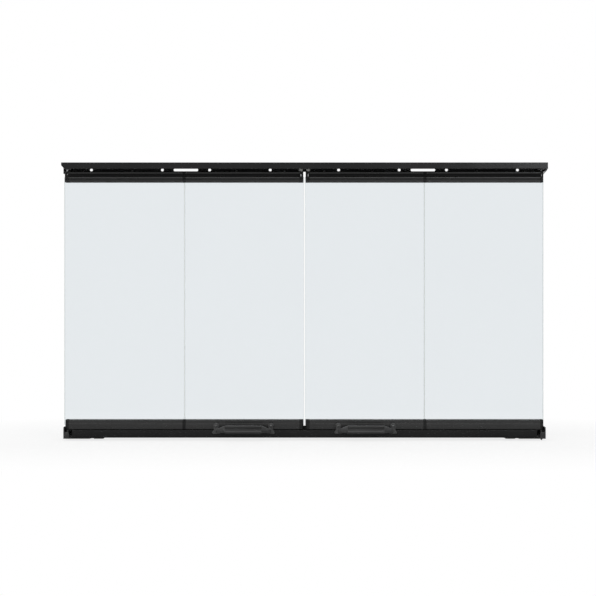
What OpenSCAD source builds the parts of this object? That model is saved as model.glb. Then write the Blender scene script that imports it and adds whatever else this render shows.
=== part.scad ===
// Folding glass door set for a fireplace: two pairs of frameless glass doors between a top
// track and a bottom track. Each pair folds out into the room about a pivot at its outer end.
// Millimetres, +Z up. The origin is on the underside of the bottom track, midway along it,
// in the middle of the closed glass. The room is towards -Y and the fire towards +Y.

/* [Door set] */
// Length of the top track, end to end
track_l = 914; // [760:1:1100]
// Height of clear glass between the door rails
daylight_h = 449.5; // [350:0.5:600]
// Gap between the two leading doors
centre_gap = 6.6; // [6:0.1:12]
// Gap between the two doors of a pair
fold_gap = 2; // [1.8:0.1:3]
// Room between a track end and the outer end of a door
end_room = 4.9; // [4.5:0.1:7]

/* [Glass] */
// Thickness of the tempered glass
glass_t = 4.8; // [4:0.1:5.6]
// Depth of glass held in each rail
glass_bite = 10.7; // [9:0.1:11.5]
// Distance from a rail end to the glass edge
glass_inset = 0.75; // [0.5:0.05:2]
// Thickness of the glazing gasket, sides and base
gasket_t = 1.3; // [1:0.1:1.5]

/* [Door rails] */
// Front of the rails, ahead of the glass centre
rail_front = 12; // [11.6:0.1:14]
// Thickness of the wall behind the glass
rail_back_wall = 2.3; // [2:0.1:4]
// Height of the top rail
top_rail_h = 20.6; // [19.5:0.1:26]
// Height of the bottom rail
bottom_rail_h = 18.8; // [18.4:0.1:24]
// Thickness of the extruded walls
rail_wall = 1.4; // [1.2:0.1:1.6]
// Radius of the round ribs on the top rail
rib_r = 2.6; // [2.2:0.1:2.8]
// Distance between the two ribs
rib_pitch = 9.7; // [8:0.1:11]
// Depth of the groove between the ribs
groove_d = 1.2; // [0.6:0.1:1.3]
// Height of the plain band under the lower rib
band_h = 5; // [3:0.1:6]
// Radius of the round nose on the bottom rail
nose_r = 5.4; // [4.8:0.1:6]
// Set-back of the flat face above the nose
face_set = 1; // [0.5:0.1:1.4]
// Chamfer on the edge next to the glass
edge_c = 2; // [0.8:0.1:2.6]
// Set-back of the plain band's face from the ribs
band_set = 0.8; // [0.4:0.1:1]
// Thickness of the cap at a door's free end
cap_l = 6.2; // [6:0.1:10]
// Thickness of the cap at the fold
fold_cap_t = 2; // [1.2:0.1:4]
// Length of a cap's tongue inside the rail
tongue_l = 10; // [6:0.5:16]
// Radius of the free end's front corner
corner_r = 3.5; // [2.8:0.1:3.6]

/* [Pivots and guides] */
// Pivot and guide line, ahead of the glass centre
pivot_front = 8; // [7.9:0.1:8.4]
// Pivot and guide line, in from a free end
pivot_inset = 3.6; // [3.5:0.1:4]
// Radius of the pivot and guide pins
pivot_r = 1.8; // [1.5:0.05:1.9]
// Depth of the lower pivot in the door
lower_pivot_up = 9; // [6:0.5:11]
// Radius of the lower pivot's thread
stud_r = 2; // [1.8:0.05:2.1]
// Radius of the collar that carries the door
collar_r = 3.4; // [2.8:0.1:3.6]
// Height of the collar
collar_h = 4.2; // [3:0.1:6]
// Drop of the right lower pivot below its bracket
right_pivot_drop = 3.6; // [0.5:0.1:5]
// Size of the pivot lock nut across its flats
nut_af = 7; // [5.5:0.1:7.2]
// Thickness of the lock nut
nut_t = 3.2; // [2:0.1:5]
// Engaged length of the sprung upper pivot
upper_pivot_grip = 5.6; // [4:0.1:5.8]
// Guided length of the upper pivot inside the door
upper_pivot_guide = 6; // [5:0.1:6.5]
// Radius of the upper pivot's tail
tail_r = 0.9; // [0.6:0.05:1.1]
// Length of the upper pivot's tail
tail_l = 6.3; // [4:0.1:6.8]
// Wire thickness of the pivot spring
spring_t = 0.6; // [0.4:0.05:0.7]
// Height of the pivot sockets above the top track's lip
socket_up = 1.2; // [0.6:0.1:2]
// Length of a pivot socket along the track
socket_l = 12; // [10:0.5:14]
// Depth of a pivot socket, front to back
socket_d = 14; // [11:0.5:18]
// Wall of the socket's spigot round the pivot
spigot_wall = 1.2; // [0.8:0.1:2]
// Radius of the guide roller
roller_r = 3.8; // [3.2:0.1:4.2]
// Height of the guide roller
roller_h = 9.8; // [8:0.1:10]
// Radius of the guide pin's head
guide_head_r = 3; // [2.6:0.1:3.2]
// Thickness of the guide pin's head
guide_head_t = 1.2; // [0.8:0.1:1.4]
// Depth of the guide pin in the door
guide_pin_down = 12; // [8:0.5:16]

/* [Fold hinges] */
// Height of each hinge
hinge_h = 16.8; // [14:0.1:17.4]
// Length of a hinge leaf
leaf_l = 24; // [20:0.5:40]
// Thickness of a hinge leaf
leaf_t = 1.4; // [1.2:0.1:1.6]
// Radius of the hinge knuckle
knuckle_r = 2.4; // [2.2:0.05:2.5]
// Radius of the hinge pin
hinge_pin_r = 1.3; // [1:0.05:1.5]

/* [Handles] */
// Distance between the two screws of a handle
handle_pitch = 103; // [92:1:130]
// Height of the handle screws above the door's lower edge
handle_screw_up = 8.4; // [8:0.1:10]
// Radius of the screw boss
boss_r = 5.2; // [4.6:0.1:6]
// Reach of the screw boss ahead of the rail
boss_l = 12.5; // [12:0.1:16]
// Thickness of the bracket's plate
bracket_plate_t = 3.5; // [2.5:0.1:4]
// Width of the bracket's foot
foot_w = 14.4; // [10:0.1:18]
// Height of the bracket's foot
foot_h = 4.8; // [3:0.1:6]
// Lower end of the foot, below the screw
foot_drop = 15.4; // [14:0.1:16.5]
// Lower end of the boss's pad, above the nose's middle
pad_lift = 3.2; // [2.4:0.1:4]
// Middle of the grip below the screws
grip_drop = 5.4; // [3:0.1:7]
// Length of the grip
grip_l = 69; // [50:1:76]
// Radius of the grip's two round edges
grip_r = 3.2; // [2.6:0.1:3.6]
// Distance between the two round edges
grip_pitch = 9.6; // [8:0.1:11]
// Thickness of the web between them
grip_web_t = 4.2; // [3:0.1:5]
// Front of the grip, ahead of the glass centre
grip_front = 42; // [40:0.5:60]

/* [Top track] */
// Height of the top track's front lip
top_lip_h = 12.1; // [11:0.1:16]
// Front of the top track, ahead of the glass centre
top_front = 30; // [28:0.5:40]
// Back of both tracks, behind the glass centre
track_back = 22; // [21:0.5:30]
// Thickness of the top track's sheet
top_t = 1.4; // [1.2:0.1:2]
// Height of the top track's back wall
top_back_h = 13.1; // [12.6:0.1:14]
// Gap between the door tops and the track's lip
head_gap = 2.7; // [2.4:0.1:3.4]
// Size of the bead along the lip's edges
bead = 1; // [0.6:0.1:1.4]
// Lowest point of the end plates, below the lip
end_plate_drop = 7; // [4:0.5:9]
// Length of an end plate's flange on the back wall
end_flange_l = 14; // [12:0.5:30]
// Thickness of the guide channel's sheet
guide_t = 1.2; // [1:0.1:1.4]
// Depth of the guide channel's legs
guide_leg = 6.7; // [5:0.1:7.2]
// Distance from the pivots to the guide channel's ends
guide_end = 16.5; // [14:0.5:30]

/* [Bottom track] */
// Height of the bottom track's front lip
sill_lip_h = 13.4; // [12.4:0.1:13.8]
// Front of the bottom track, ahead of the glass centre
sill_front = 20; // [18.5:0.1:20.4]
// Thickness of the bottom track's sheet
sill_t = 1.4; // [1.2:0.1:1.8]
// Height of the bottom track's back wall
sill_back_h = 19.4; // [16:0.1:24]
// Gap between the lip and the doors
sill_gap = 1; // [0.6:0.1:2]
// Outer bend radius of the sheet
bend_r = 2; // [1.9:0.1:2.6]
// Width of the two locating notches
notch_w = 4; // [2:0.5:6]
// Height of the two locating notches
notch_h = 1.2; // [0.6:0.1:1.3]

/* [Lower brackets] */
// Thickness of the bracket's sheet
bracket_t = 1.8; // [1.4:0.1:2.4]
// Length of the bracket under the track
bracket_l = 75.7; // [60:0.1:110]
// Height of the bracket's side above the track's underside
bracket_h = 20.4; // [16:0.1:24]
// Height of the front tab
tab_h = 11; // [8:0.1:13]
// Width of the front tab
tab_w = 10.6; // [8:0.1:12]
// Gap between the tab and the track's lip
tab_gap = 6; // [3:0.1:9]
// Running room between a door's end and the bracket
side_room = 0.75; // [0.7:0.05:1.2]
// Distance from the bracket's outer face to the front slot
front_slot_in = 54.1; // [50:0.1:56]
// Width of the front slot
front_slot_w = 7.5; // [6:0.1:9]
// Depth of the front slot
front_slot_d = 9; // [6:0.1:10]
// Bracket's first screw, in from its inner end
bracket_screw_in = 12; // [8:0.5:20]
// Bracket's second screw, in from the pivot
pivot_screw_in = 14; // [12:0.5:18]

/* [Mounting holes] */
// Radius of the round mounting holes
mount_r = 2.75; // [2.25:0.05:2.8]
// Height of the wall holes above the back wall's lower edge
wall_hole_up = 3.8; // [3.4:0.1:4.4]
// First pair of wall holes, from the middle
wall_hole_a = 65.5; // [50:0.5:80]
// Second pair of wall holes, from the middle
wall_hole_b = 181.5; // [165:0.5:195]
// Third pair of wall holes, from the middle
wall_hole_c = 272; // [260:0.5:285]
// Fourth pair of wall holes, in from the track ends
wall_hole_in = 49; // [40:0.5:70]
// Middle of the two slots, from the middle
wall_slot_at = 227; // [220:0.5:234]
// Length of the two slots
wall_slot_l = 47; // [30:0.5:50]
// Hearth holes, in from the bracket's outer face
hearth_hole_in = 34.65; // [30:0.05:40]
// Hearth holes, behind the glass centre
hearth_hole_back = 0; // [-4:0.5:9]

/* [Catches] */
// Distance of each catch from the middle
catch_at = 72; // [60:0.5:80]
// Width of a catch
catch_w = 34; // [24:0.5:40]
// Height of a catch
catch_h = 17.2; // [14:0.1:20]
// Air gap between a catch and its shut strike plate
catch_gap = 0.3; // [0.2:0.05:0.8]
// Width of a strike plate
strike_w = 32; // [20:0.5:36]
// Height of a strike plate
strike_h = 14; // [10:0.1:15]
// Thickness of a strike plate
strike_t = 1.2; // [1:0.1:1.4]
// Length of a catch's ear
ear_l = 7; // [6:0.5:10]
// Thickness of a catch's ear
ear_t = 1.6; // [1.2:0.1:3]

/* [Screws and rivets] */
// Radius of a screw's shank
screw_r = 1.4; // [1.2:0.05:1.5]
// Radius of a screw's head
screw_head_r = 2.6; // [2.3:0.05:2.8]
// Thickness of a raised screw head
screw_head_t = 1.9; // [1.2:0.1:2]
// Thickness of a sunk screw head
sunk_head_t = 1; // [0.8:0.05:1.1]
// Top clamp screw nearest the free end
clamp_in = 34.3; // [26:0.1:45]
// Distance between the two clamp screws
clamp_pitch = 91.3; // [70:0.1:110]
// Length of the top clamp screws in the rail
clamp_screw_l = 6; // [4:0.5:12]
// Radius of a rivet
rivet_r = 1.6; // [1.4:0.05:1.7]
// Thickness of a rivet's head
rivet_head_t = 1; // [0.6:0.1:1.2]
// Rivets, in from the track's end
rivet_in = 8; // [5:0.5:9]

/* [Fits] */
// Radial room of a pin that turns or slides
run_fit = 0.05; // [0.02:0.01:0.1]
// Room around a piece that is pushed in
push_fit = 0.1; // [0.05:0.01:0.2]
// Air gap between pieces that pass each other
pass_gap = 0.3; // [0.3:0.05:0.5]
// Gap that a turning face runs on
thrust_gap = 0.15; // [0.05:0.05:0.25]

/* [Hidden] */
$fn = 48;
// Overshoot of a cut past the face that it opens
cut = 0.5;

// Finishes
black = [0.09, 0.09, 0.09];
dark_grey = [0.2, 0.2, 0.2];
rubber_black = [0.05, 0.05, 0.05];
steel = [0.62, 0.63, 0.65];
nylon = [0.72, 0.72, 0.7];
glass_tint = [0.82, 0.88, 0.9, 0.35];

// Lengthways layout, from the middle outwards
rail_l = (track_l - 2 * end_room - centre_gap - 2 * fold_gap) / 4;
lead_x = centre_gap / 2;
fold_x = lead_x + rail_l + fold_gap / 2;
door_end_x = fold_x + fold_gap / 2 + rail_l;
guide_x = lead_x + pivot_inset;
pivot_x = door_end_x - pivot_inset;
handle_t = rail_l / 2;

// Heights, from the bottom track upwards
door_z = sill_lip_h + sill_gap;
sill_rail_top = door_z + bottom_rail_h;
head_rail_z = sill_rail_top + daylight_h;
door_top = head_rail_z + top_rail_h;
top_lip_z = door_top + head_gap;
track_top = top_lip_z + top_lip_h;
flange_z = track_top - top_t;
top_back_z = track_top - top_back_h;
wall_hole_z = top_back_z + wall_hole_up;

// The rails in section
slot_half = glass_t / 2 + gasket_t;
slot_d = glass_bite + gasket_t;
rail_back = slot_half + rail_back_wall;
groove_y = -(rail_front - groove_d);
chamber_back = -(slot_half + rail_wall);
glass_z = sill_rail_top - glass_bite;
glass_h = daylight_h + 2 * glass_bite;

// Hinges lie on the back of the rails and their axis clears the folded leaves
hinge_y = rail_back + knuckle_r + 0.2;
leaf_start = fold_gap / 2 - 0.1;
hinge_low_z = door_z + (bottom_rail_h - hinge_h) / 2;
hinge_high_z = head_rail_z + (top_rail_h - hinge_h) / 2;

// Upper pivot, guide roller and guide channel
socket_low = top_lip_z + socket_up;
pivot_top = socket_low + upper_pivot_grip;
pivot_shoulder = door_top - upper_pivot_guide;
pivot_bore_z = head_rail_z + rail_wall + push_fit;
roller_z = door_top + pass_gap;
roller_top = roller_z + roller_h;
guide_half = roller_r + pass_gap;
guide_low = flange_z - guide_t - guide_leg;

// Lower brackets and bottom track
bracket_in_x = door_end_x + side_room;
bracket_screw_y = [2, 13];
bracket_out_x = bracket_in_x + bracket_t;
sill_half_l = bracket_in_x - thrust_gap;
lip_half_l = bracket_out_x - tab_w - tab_gap;

// Handle
handle_z = door_z + handle_screw_up;
boss_front = -(rail_front + boss_l);
grip_y = -(grip_front - grip_r);
grip_z = handle_z - grip_drop;

// Catches and strike plates
strike_z = door_z + (bottom_rail_h - strike_h) / 2;
catch_front = rail_back + strike_t + catch_gap;
catch_back = track_back - sill_t;
ear_y = (catch_front + catch_back) / 2;

// Shares of the piece that carries them: screws along and up a leaf, screws along a strike plate
leaf_screw_along = [0.36, 0.8];
leaf_screw_up = [0.3, 0.7];
strike_screw_along = 0.36;
strike_screw_up = 0.6;
// Straight share of a raised head, its top's share of the radius, and the floor of its recess
head_straight = 0.55;
head_crown = 0.6;
head_floor = 0.45;
// Thread left under a screw's point, and wall left round a hollow
thread_end = 0.2;
hollow_wall = 0.6;

// Runs a section drawn as (y, z) along X from x0 over length l
module along_x(x0, l) {
  translate([x0, 0, 0]) rotate([90, 0, 90]) linear_extrude(l) children();
}

// Mirrors a right-hand piece to the left for side -1
module sided(side) {
  mirror([side < 0 ? 1 : 0, 0, 0]) children();
}

// Places a door's own frame: x runs from its free end towards the fold
module on_door(side, inner) {
  sided(side) translate([inner ? lead_x : door_end_x, 0, 0]) mirror([inner ? 0 : 1, 0, 0]) children();
}

// A round bar along Z
module rod(x, y, z0, z1, r) {
  translate([x, y, z0]) cylinder(r = r, h = z1 - z0);
}

// A box between two corners
module block(a, b) {
  translate(a) cube(b - a);
}

// Points an upright piece at +Z, at the back (+Y) or at the front (-Y)
module facing(way) {
  rotate([way == "back" ? -90 : way == "front" ? 90 : 0, 0, 0]) children();
}

// Screw places of a door in its own frame: [position of the head's seat, way it faces, depth, sunk]
function hinge_screws() = [
  for (z = [hinge_low_z, hinge_high_z], k = [0, 1])
    [[rail_l + fold_gap / 2 - leaf_start - leaf_l * leaf_screw_along[k],
      rail_back + leaf_t, z + hinge_h * leaf_screw_up[k]],
     "back", leaf_t + rail_back_wall - thread_end, true]
];
function clamp_screws() = [
  for (k = [0, 1])
    [[clamp_in + k * clamp_pitch, (groove_y + rail_wall + chamber_back) / 2, door_top],
     "top", clamp_screw_l, false],
  for (k = [0, 1])
    [[clamp_in + k * clamp_pitch, rail_back, sill_rail_top - slot_d / 2],
     "back", rail_back_wall - thread_end, false]
];
function handle_screws() = [
  for (k = [-1, 1])
    [[handle_t + k * handle_pitch / 2, boss_front, handle_z], "front", boss_l + rail_front - pivot_front, false]
];
function strike_screws() = [
  for (k = [-1, 1])
    [[catch_at - lead_x + k * strike_w * strike_screw_along,
      rail_back + strike_t, strike_z + strike_h * strike_screw_up],
     "back", strike_t + rail_back_wall - thread_end, true]
];
function door_screws(inner) =
  concat(hinge_screws(), clamp_screws(), inner ? concat(handle_screws(), strike_screws()) : []);

// Screw places of the frame, right-hand side
function frame_screw_places() = [
  for (k = [-1, 1])
    [[catch_at + k * (catch_w + ear_l) / 2, ear_y, sill_t + ear_t], "top", sill_t + ear_t, false],
  [[bracket_out_x - bracket_l + bracket_screw_in, bracket_screw_y[0], sill_t],
   "top", sill_t + bracket_t, false],
  [[pivot_x - pivot_screw_in, bracket_screw_y[1], sill_t], "top", sill_t + bracket_t, false]
];

// A screw with its seat at the origin, head up, and a cross recess in the head
module screw(depth, sunk) {
  straight = screw_head_t * head_straight;
  recess_z = sunk ? -sunk_head_t * head_crown : screw_head_t * head_floor;
  recess_w = 0.6;
  difference() {
    union() {
      translate([0, 0, -depth]) cylinder(r = screw_r, h = depth - (sunk ? sunk_head_t : 0) + 0.01);
      if (sunk)
        translate([0, 0, -sunk_head_t]) cylinder(r1 = screw_r, r2 = screw_head_r, h = sunk_head_t);
      else {
        cylinder(r = screw_head_r, h = straight);
        translate([0, 0, straight])
          cylinder(r1 = screw_head_r, r2 = screw_head_r * head_crown, h = screw_head_t - straight);
      }
    }
    for (turn = [0, 90])
      rotate([0, 0, turn]) translate([-screw_head_r / 2, -recess_w / 2, recess_z])
        cube([screw_head_r, recess_w, screw_head_t + cut]);
  }
}

// The room that a screw's shank and sunk head need
module screw_hole(depth, sunk) {
  translate([0, 0, -depth - cut]) cylinder(r = screw_r + run_fit, h = depth + 2 * cut);
  if (sunk)
    translate([0, 0, -sunk_head_t])
      cylinder(r1 = screw_r + run_fit, r2 = screw_head_r + run_fit, h = sunk_head_t);
}

module screws_at(places) {
  for (s = places) translate(s[0]) facing(s[1]) screw(s[2], s[3]);
}

module screw_holes_at(places) {
  for (s = places) translate(s[0]) facing(s[1]) screw_hole(s[2], s[3]);
}

// Outline of the top rail: two round ribs, a groove between them and a plain band below
module top_rail_outline() {
  translate([groove_y, head_rail_z]) square([rail_back - groove_y, top_rail_h]);
  for (k = [0, 1])
    translate([-(rail_front - rib_r), door_top - rib_r - k * rib_pitch]) circle(r = rib_r);
  translate([-(rail_front - band_set), head_rail_z]) square([rib_r, band_h]);
}

// Outline of the bottom rail: a round nose below a flat, chamfered face
module bottom_rail_outline() {
  face_y = -(rail_front - face_set);
  nose_z = door_z + nose_r;
  translate([-(rail_front - nose_r), nose_z]) circle(r = nose_r);
  translate([-(rail_front - nose_r), door_z]) square([rail_front - nose_r + rail_back, nose_r + cut]);
  polygon([
    [face_y, nose_z], [rail_back, nose_z], [rail_back, sill_rail_top],
    [face_y + edge_c, sill_rail_top], [face_y, sill_rail_top - edge_c]
  ]);
}

// The channel that holds the glass, open at the rail's inner edge
module top_slot() {
  translate([-slot_half, head_rail_z - cut]) square([2 * slot_half, slot_d + cut]);
}

module bottom_slot() {
  translate([-slot_half, sill_rail_top - slot_d]) square([2 * slot_half, slot_d + cut]);
}

// The hollow at the front of each rail, shrunk by fit for a cap's tongue
module top_chamber(fit = 0) {
  front = groove_y + rail_wall + fit;
  translate([front, head_rail_z + rail_wall + fit])
    square([chamber_back - fit - front, top_rail_h - 2 * (rail_wall + fit)]);
}

module bottom_chamber(fit = 0) {
  front = -(rail_front - face_set) + rail_wall + fit;
  low = door_z + nose_r * hollow_wall + fit;
  high = sill_rail_top - edge_c - hollow_wall - fit;
  translate([front, low]) square([chamber_back - fit - front, high - low]);
}

// The lesser hollow between the glass channel and the rail's outer wall
module top_duct() {
  low = head_rail_z + slot_d + rail_wall;
  translate([-slot_half, low]) square([slot_half + rail_back - rail_wall, door_top - rail_wall - low]);
}

module bottom_duct() {
  low = door_z + rail_wall;
  translate([-slot_half, low])
    square([slot_half + rail_back - rail_wall, sill_rail_top - slot_d - rail_wall - low]);
}

module rail(inner, upper) {
  color(black) difference() {
    along_x(cap_l, rail_l - cap_l - fold_cap_t) difference() {
      if (upper) top_rail_outline(); else bottom_rail_outline();
      if (upper) top_slot(); else bottom_slot();
      if (upper) top_chamber(); else bottom_chamber();
      if (upper) top_duct(); else bottom_duct();
    }
    screw_holes_at(door_screws(inner));
  }
}

// Plan of a free end, with its front corner rounded so that it turns inside the bracket
module free_end_plan() {
  translate([corner_r, -rail_front + corner_r]) circle(r = corner_r);
  translate([corner_r, -rail_front]) square([cap_l - corner_r, rail_front + rail_back]);
  translate([0, -rail_front + corner_r]) square([cap_l, rail_front - corner_r + rail_back]);
}

// A solid cap on the free end of a rail, with a tongue in the rail's front hollow
module free_end_cap(upper) {
  low = upper ? head_rail_z : door_z;
  high = upper ? door_top : sill_rail_top;
  intersection() {
    along_x(0, cap_l) difference() {
      if (upper) top_rail_outline(); else bottom_rail_outline();
      if (upper) top_slot(); else bottom_slot();
    }
    translate([0, 0, low - cut]) linear_extrude(high - low + 2 * cut) free_end_plan();
  }
  along_x(cap_l - 0.2, tongue_l + 0.2) if (upper) top_chamber(push_fit); else bottom_chamber(push_fit);
}

// A thin cap on the rail's end at the fold
module fold_end_cap(upper) {
  along_x(rail_l - fold_cap_t, fold_cap_t) difference() {
    if (upper) top_rail_outline(); else bottom_rail_outline();
    if (upper) top_slot(); else bottom_slot();
  }
  along_x(rail_l - fold_cap_t - tongue_l, tongue_l + 0.2)
    if (upper) top_chamber(push_fit); else bottom_chamber(push_fit);
}

// The bore for a pivot or guide pin near a door's free end
module bore(z0, z1) {
  rod(pivot_inset, -pivot_front, z0, z1, pivot_r + run_fit);
}

module end_caps(inner) {
  color(black) difference() {
    union() {
      for (upper = [true, false]) {
        free_end_cap(upper);
        fold_end_cap(upper);
      }
    }
    if (inner)
      bore(door_top - guide_pin_down - push_fit, door_top + cut);
    else {
      bore(pivot_bore_z, door_top + cut);
      bore(door_z - cut, door_z + lower_pivot_up + push_fit);
    }
  }
}

module glass() {
  color(glass_tint)
    block([glass_inset, -glass_t / 2, glass_z], [rail_l - glass_inset, glass_t / 2, glass_z + glass_h]);
}

module gaskets() {
  color(rubber_black) along_x(glass_inset, rail_l - 2 * glass_inset) {
    difference() {
      translate([-slot_half, sill_rail_top - slot_d]) square([2 * slot_half, slot_d]);
      translate([-glass_t / 2, glass_z]) square([glass_t, glass_bite + cut]);
    }
    difference() {
      translate([-slot_half, head_rail_z]) square([2 * slot_half, slot_d]);
      translate([-glass_t / 2, head_rail_z - cut]) square([glass_t, glass_bite + cut]);
    }
  }
}

module door_screw_set(inner) {
  color(steel) screws_at(door_screws(inner));
}

// A hinge leaf and its knuckles, in the door's own frame, behind the rails at height z
module hinge_leaf(inner, z) {
  axis_x = rail_l + fold_gap / 2;
  third = hinge_h / 3;
  play = inner ? thrust_gap : 0;
  own = inner ? [1] : [0, 2];
  other = inner ? [0, 2] : [1];
  near_x = axis_x - leaf_start;
  relief_r = knuckle_r + pass_gap;
  difference() {
    union() {
      block([near_x - leaf_l, rail_back, z], [near_x, rail_back + leaf_t, z + hinge_h]);
      for (k = own) rod(axis_x, hinge_y, z + k * third + play, z + (k + 1) * third - play, knuckle_r);
    }
    for (k = other)
      rod(axis_x, hinge_y, z + k * third - thrust_gap, z + (k + 1) * third + thrust_gap, relief_r);
    rod(axis_x, hinge_y, z - cut, z + hinge_h + cut, hinge_pin_r + run_fit);
    screw_holes_at(hinge_screws());
  }
}

module hinge_leaves(inner) {
  color(dark_grey) for (z = [hinge_low_z, hinge_high_z]) hinge_leaf(inner, z);
}

module hinge_pins() {
  color(steel)
    for (z = [hinge_low_z, hinge_high_z]) rod(rail_l + fold_gap / 2, hinge_y, z, z + hinge_h, hinge_pin_r);
}

// The sprung pivot pin at the door's upper outer corner, pushed up into its socket
module upper_pivot_pin() {
  tip_c = 0.8;
  color(steel) {
    rod(pivot_inset, -pivot_front, pivot_shoulder, pivot_top - tip_c, pivot_r);
    translate([pivot_inset, -pivot_front, pivot_top - tip_c])
      cylinder(r1 = pivot_r, r2 = pivot_r - tip_c, h = tip_c);
    rod(pivot_inset, -pivot_front, pivot_shoulder - tail_l, pivot_shoulder + cut, tail_r);
  }
}

module upper_pivot_spring() {
  color(steel) difference() {
    rod(pivot_inset, -pivot_front, pivot_bore_z, pivot_shoulder, pivot_r - push_fit);
    rod(pivot_inset, -pivot_front, pivot_bore_z - cut, pivot_shoulder + cut, pivot_r - push_fit - spring_t);
  }
}

// The pin that carries the guide roller, with a flat head over the roller
module guide_pin() {
  head_z = roller_top + thrust_gap;
  color(steel) {
    rod(pivot_inset, -pivot_front, door_top - guide_pin_down, head_z + guide_head_t, pivot_r);
    rod(pivot_inset, -pivot_front, head_z, head_z + guide_head_t, guide_head_r);
  }
}

module guide_roller() {
  color(nylon) difference() {
    rod(pivot_inset, -pivot_front, roller_z, roller_top, roller_r);
    rod(pivot_inset, -pivot_front, roller_z - cut, roller_top + cut, pivot_r + run_fit);
  }
}

// One end bracket of the handle: screw boss, plate down to a foot, and an arm out to the grip.
// It is drawn for the end at +x of the handle's middle.
module handle_bracket() {
  at = handle_pitch / 2;
  plate_back = boss_front + bracket_plate_t;
  pad_half = boss_r * 0.7;
  pad_top = handle_z + boss_r * 0.8;
  low = handle_z - foot_drop;
  arm_in = grip_l / 2;
  arm_end_l = 4;
  arm_front = grip_y - grip_r * 0.7;
  arm_top = handle_z - screw_head_r - pass_gap;
  grip_half = grip_pitch / 2;
  difference() {
    union() {
      translate([at, -rail_front, handle_z]) rotate([90, 0, 0]) cylinder(r = boss_r, h = boss_l);
      block([at - pad_half, -rail_front - cut, door_z + nose_r + pad_lift],
            [at + pad_half, -(rail_front - face_set), pad_top]);
      hull() {
        translate([at, plate_back, handle_z])
          rotate([90, 0, 0]) cylinder(r = boss_r, h = bracket_plate_t, $fn = 32);
        block([at - foot_w / 2, boss_front, low], [at + foot_w / 2, plate_back, low + foot_h]);
      }
      hull() {
        block([at - boss_r, boss_front, low + foot_h * 0.7], [at, plate_back, arm_top]);
        block([arm_in, arm_front, grip_z - grip_half],
              [arm_in + arm_end_l, grip_y + grip_r, grip_z + grip_half]);
      }
    }
    screw_holes_at([[[at, boss_front, handle_z], "front", boss_l + rail_front, false]]);
  }
}

module handle_brackets() {
  color(dark_grey) translate([handle_t, 0, 0]) for (k = [0, 1]) mirror([k, 0, 0]) handle_bracket();
}

// The grip: two round edges with a thinner web between them
module handle_grip() {
  color(black) along_x(handle_t - grip_l / 2, grip_l) {
    for (k = [-1, 1]) translate([grip_y, grip_z + k * grip_pitch / 2]) circle(r = grip_r);
    translate([grip_y - grip_web_t / 2, grip_z - grip_pitch / 2]) square([grip_web_t, grip_pitch]);
  }
}

module strike_plate() {
  mid = catch_at - lead_x;
  color(steel) difference() {
    block([mid - strike_w / 2, rail_back, strike_z],
          [mid + strike_w / 2, rail_back + strike_t, strike_z + strike_h]);
    screw_holes_at(strike_screws());
  }
}

// Section of the top track: beaded front lip, flange and back wall
module top_track_section() {
  lip_y = -top_front;
  translate([lip_y, top_lip_z]) square([top_t, top_lip_h - bead]);
  translate([lip_y + bead, flange_z]) square([top_front + track_back - bead, top_t]);
  translate([lip_y + bead, track_top - bead]) circle(r = bead);
  translate([lip_y + bead, top_lip_z + bead]) circle(r = bead);
  translate([track_back - top_t, top_back_z]) square([top_t, top_back_h]);
}

// A hole through the back wall, round or slotted, centred on x
module wall_hole(x, l = 0) {
  reach = max(0, l / 2 - mount_r);
  for (k = [-1, 1])
    translate([x + k * reach, track_back + cut, wall_hole_z])
      rotate([90, 0, 0]) cylinder(r = mount_r, h = top_t + 2 * cut);
  if (reach > 0)
    block([x - reach, track_back - top_t - cut, wall_hole_z - mount_r],
          [x + reach, track_back + cut, wall_hole_z + mount_r]);
}

// Rivet places in an end plate's back flange, right-hand side
function rivet_places() = [
  for (k = [0, 1])
    [track_l / 2 - rivet_in, track_back - 2 * top_t, top_back_z + 2 * rivet_r * (1 + k * 1.7)]
];

// The hole for a rivet, from its head's seat to the back of the wall
module rivet_hole() {
  translate([0, -cut, 0]) rotate([-90, 0, 0]) cylinder(r = rivet_r + run_fit, h = 2 * top_t + 2 * cut);
}

module rivet() {
  head_r = rivet_r + 0.9;
  cylinder(r = rivet_r, h = 2 * top_t, $fn = 32);
  translate([0, 0, -rivet_head_t]) cylinder(r1 = rivet_r, r2 = head_r, h = rivet_head_t);
}

module top_track() {
  color(black) difference() {
    along_x(-track_l / 2 + top_t, track_l - 2 * top_t) top_track_section();
    for (side = [-1, 1]) {
      for (at = [wall_hole_a, wall_hole_b, wall_hole_c, track_l / 2 - wall_hole_in]) wall_hole(side * at);
      wall_hole(side * wall_slot_at, wall_slot_l);
      sided(side) {
        for (p = rivet_places()) translate(p) rivet_hole();
        rod(pivot_x, -pivot_front, flange_z - cut, track_top + cut, pivot_r + spigot_wall + push_fit);
      }
    }
  }
}

// An end plate closes the track's end; its lower edge slopes down towards the back
module top_end_plate() {
  inner_x = track_l / 2 - top_t;
  front = -top_front;
  low = top_lip_z - end_plate_drop;
  level_l = 4;
  bend_at = 10;
  bend_z = top_lip_z - end_plate_drop * 0.32;
  flange_low = top_back_z + 0.4;
  color(black) difference() {
    union() {
      along_x(inner_x, top_t) polygon([
        [front, top_lip_z], [front + level_l, top_lip_z], [front + bend_at, bend_z], [track_back, low],
        [track_back, track_top], [front + bead, track_top], [front, track_top - bead]
      ]);
      block([inner_x - end_flange_l, track_back - 2 * top_t, flange_low],
            [inner_x + 0.1, track_back - top_t, flange_z]);
    }
    for (p = rivet_places()) translate(p) rivet_hole();
  }
}

module top_end_plate_rivets() {
  color(dark_grey) for (side = [-1, 1]) sided(side)
    for (p = rivet_places()) translate(p) rotate([-90, 0, 0]) rivet();
}

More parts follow.
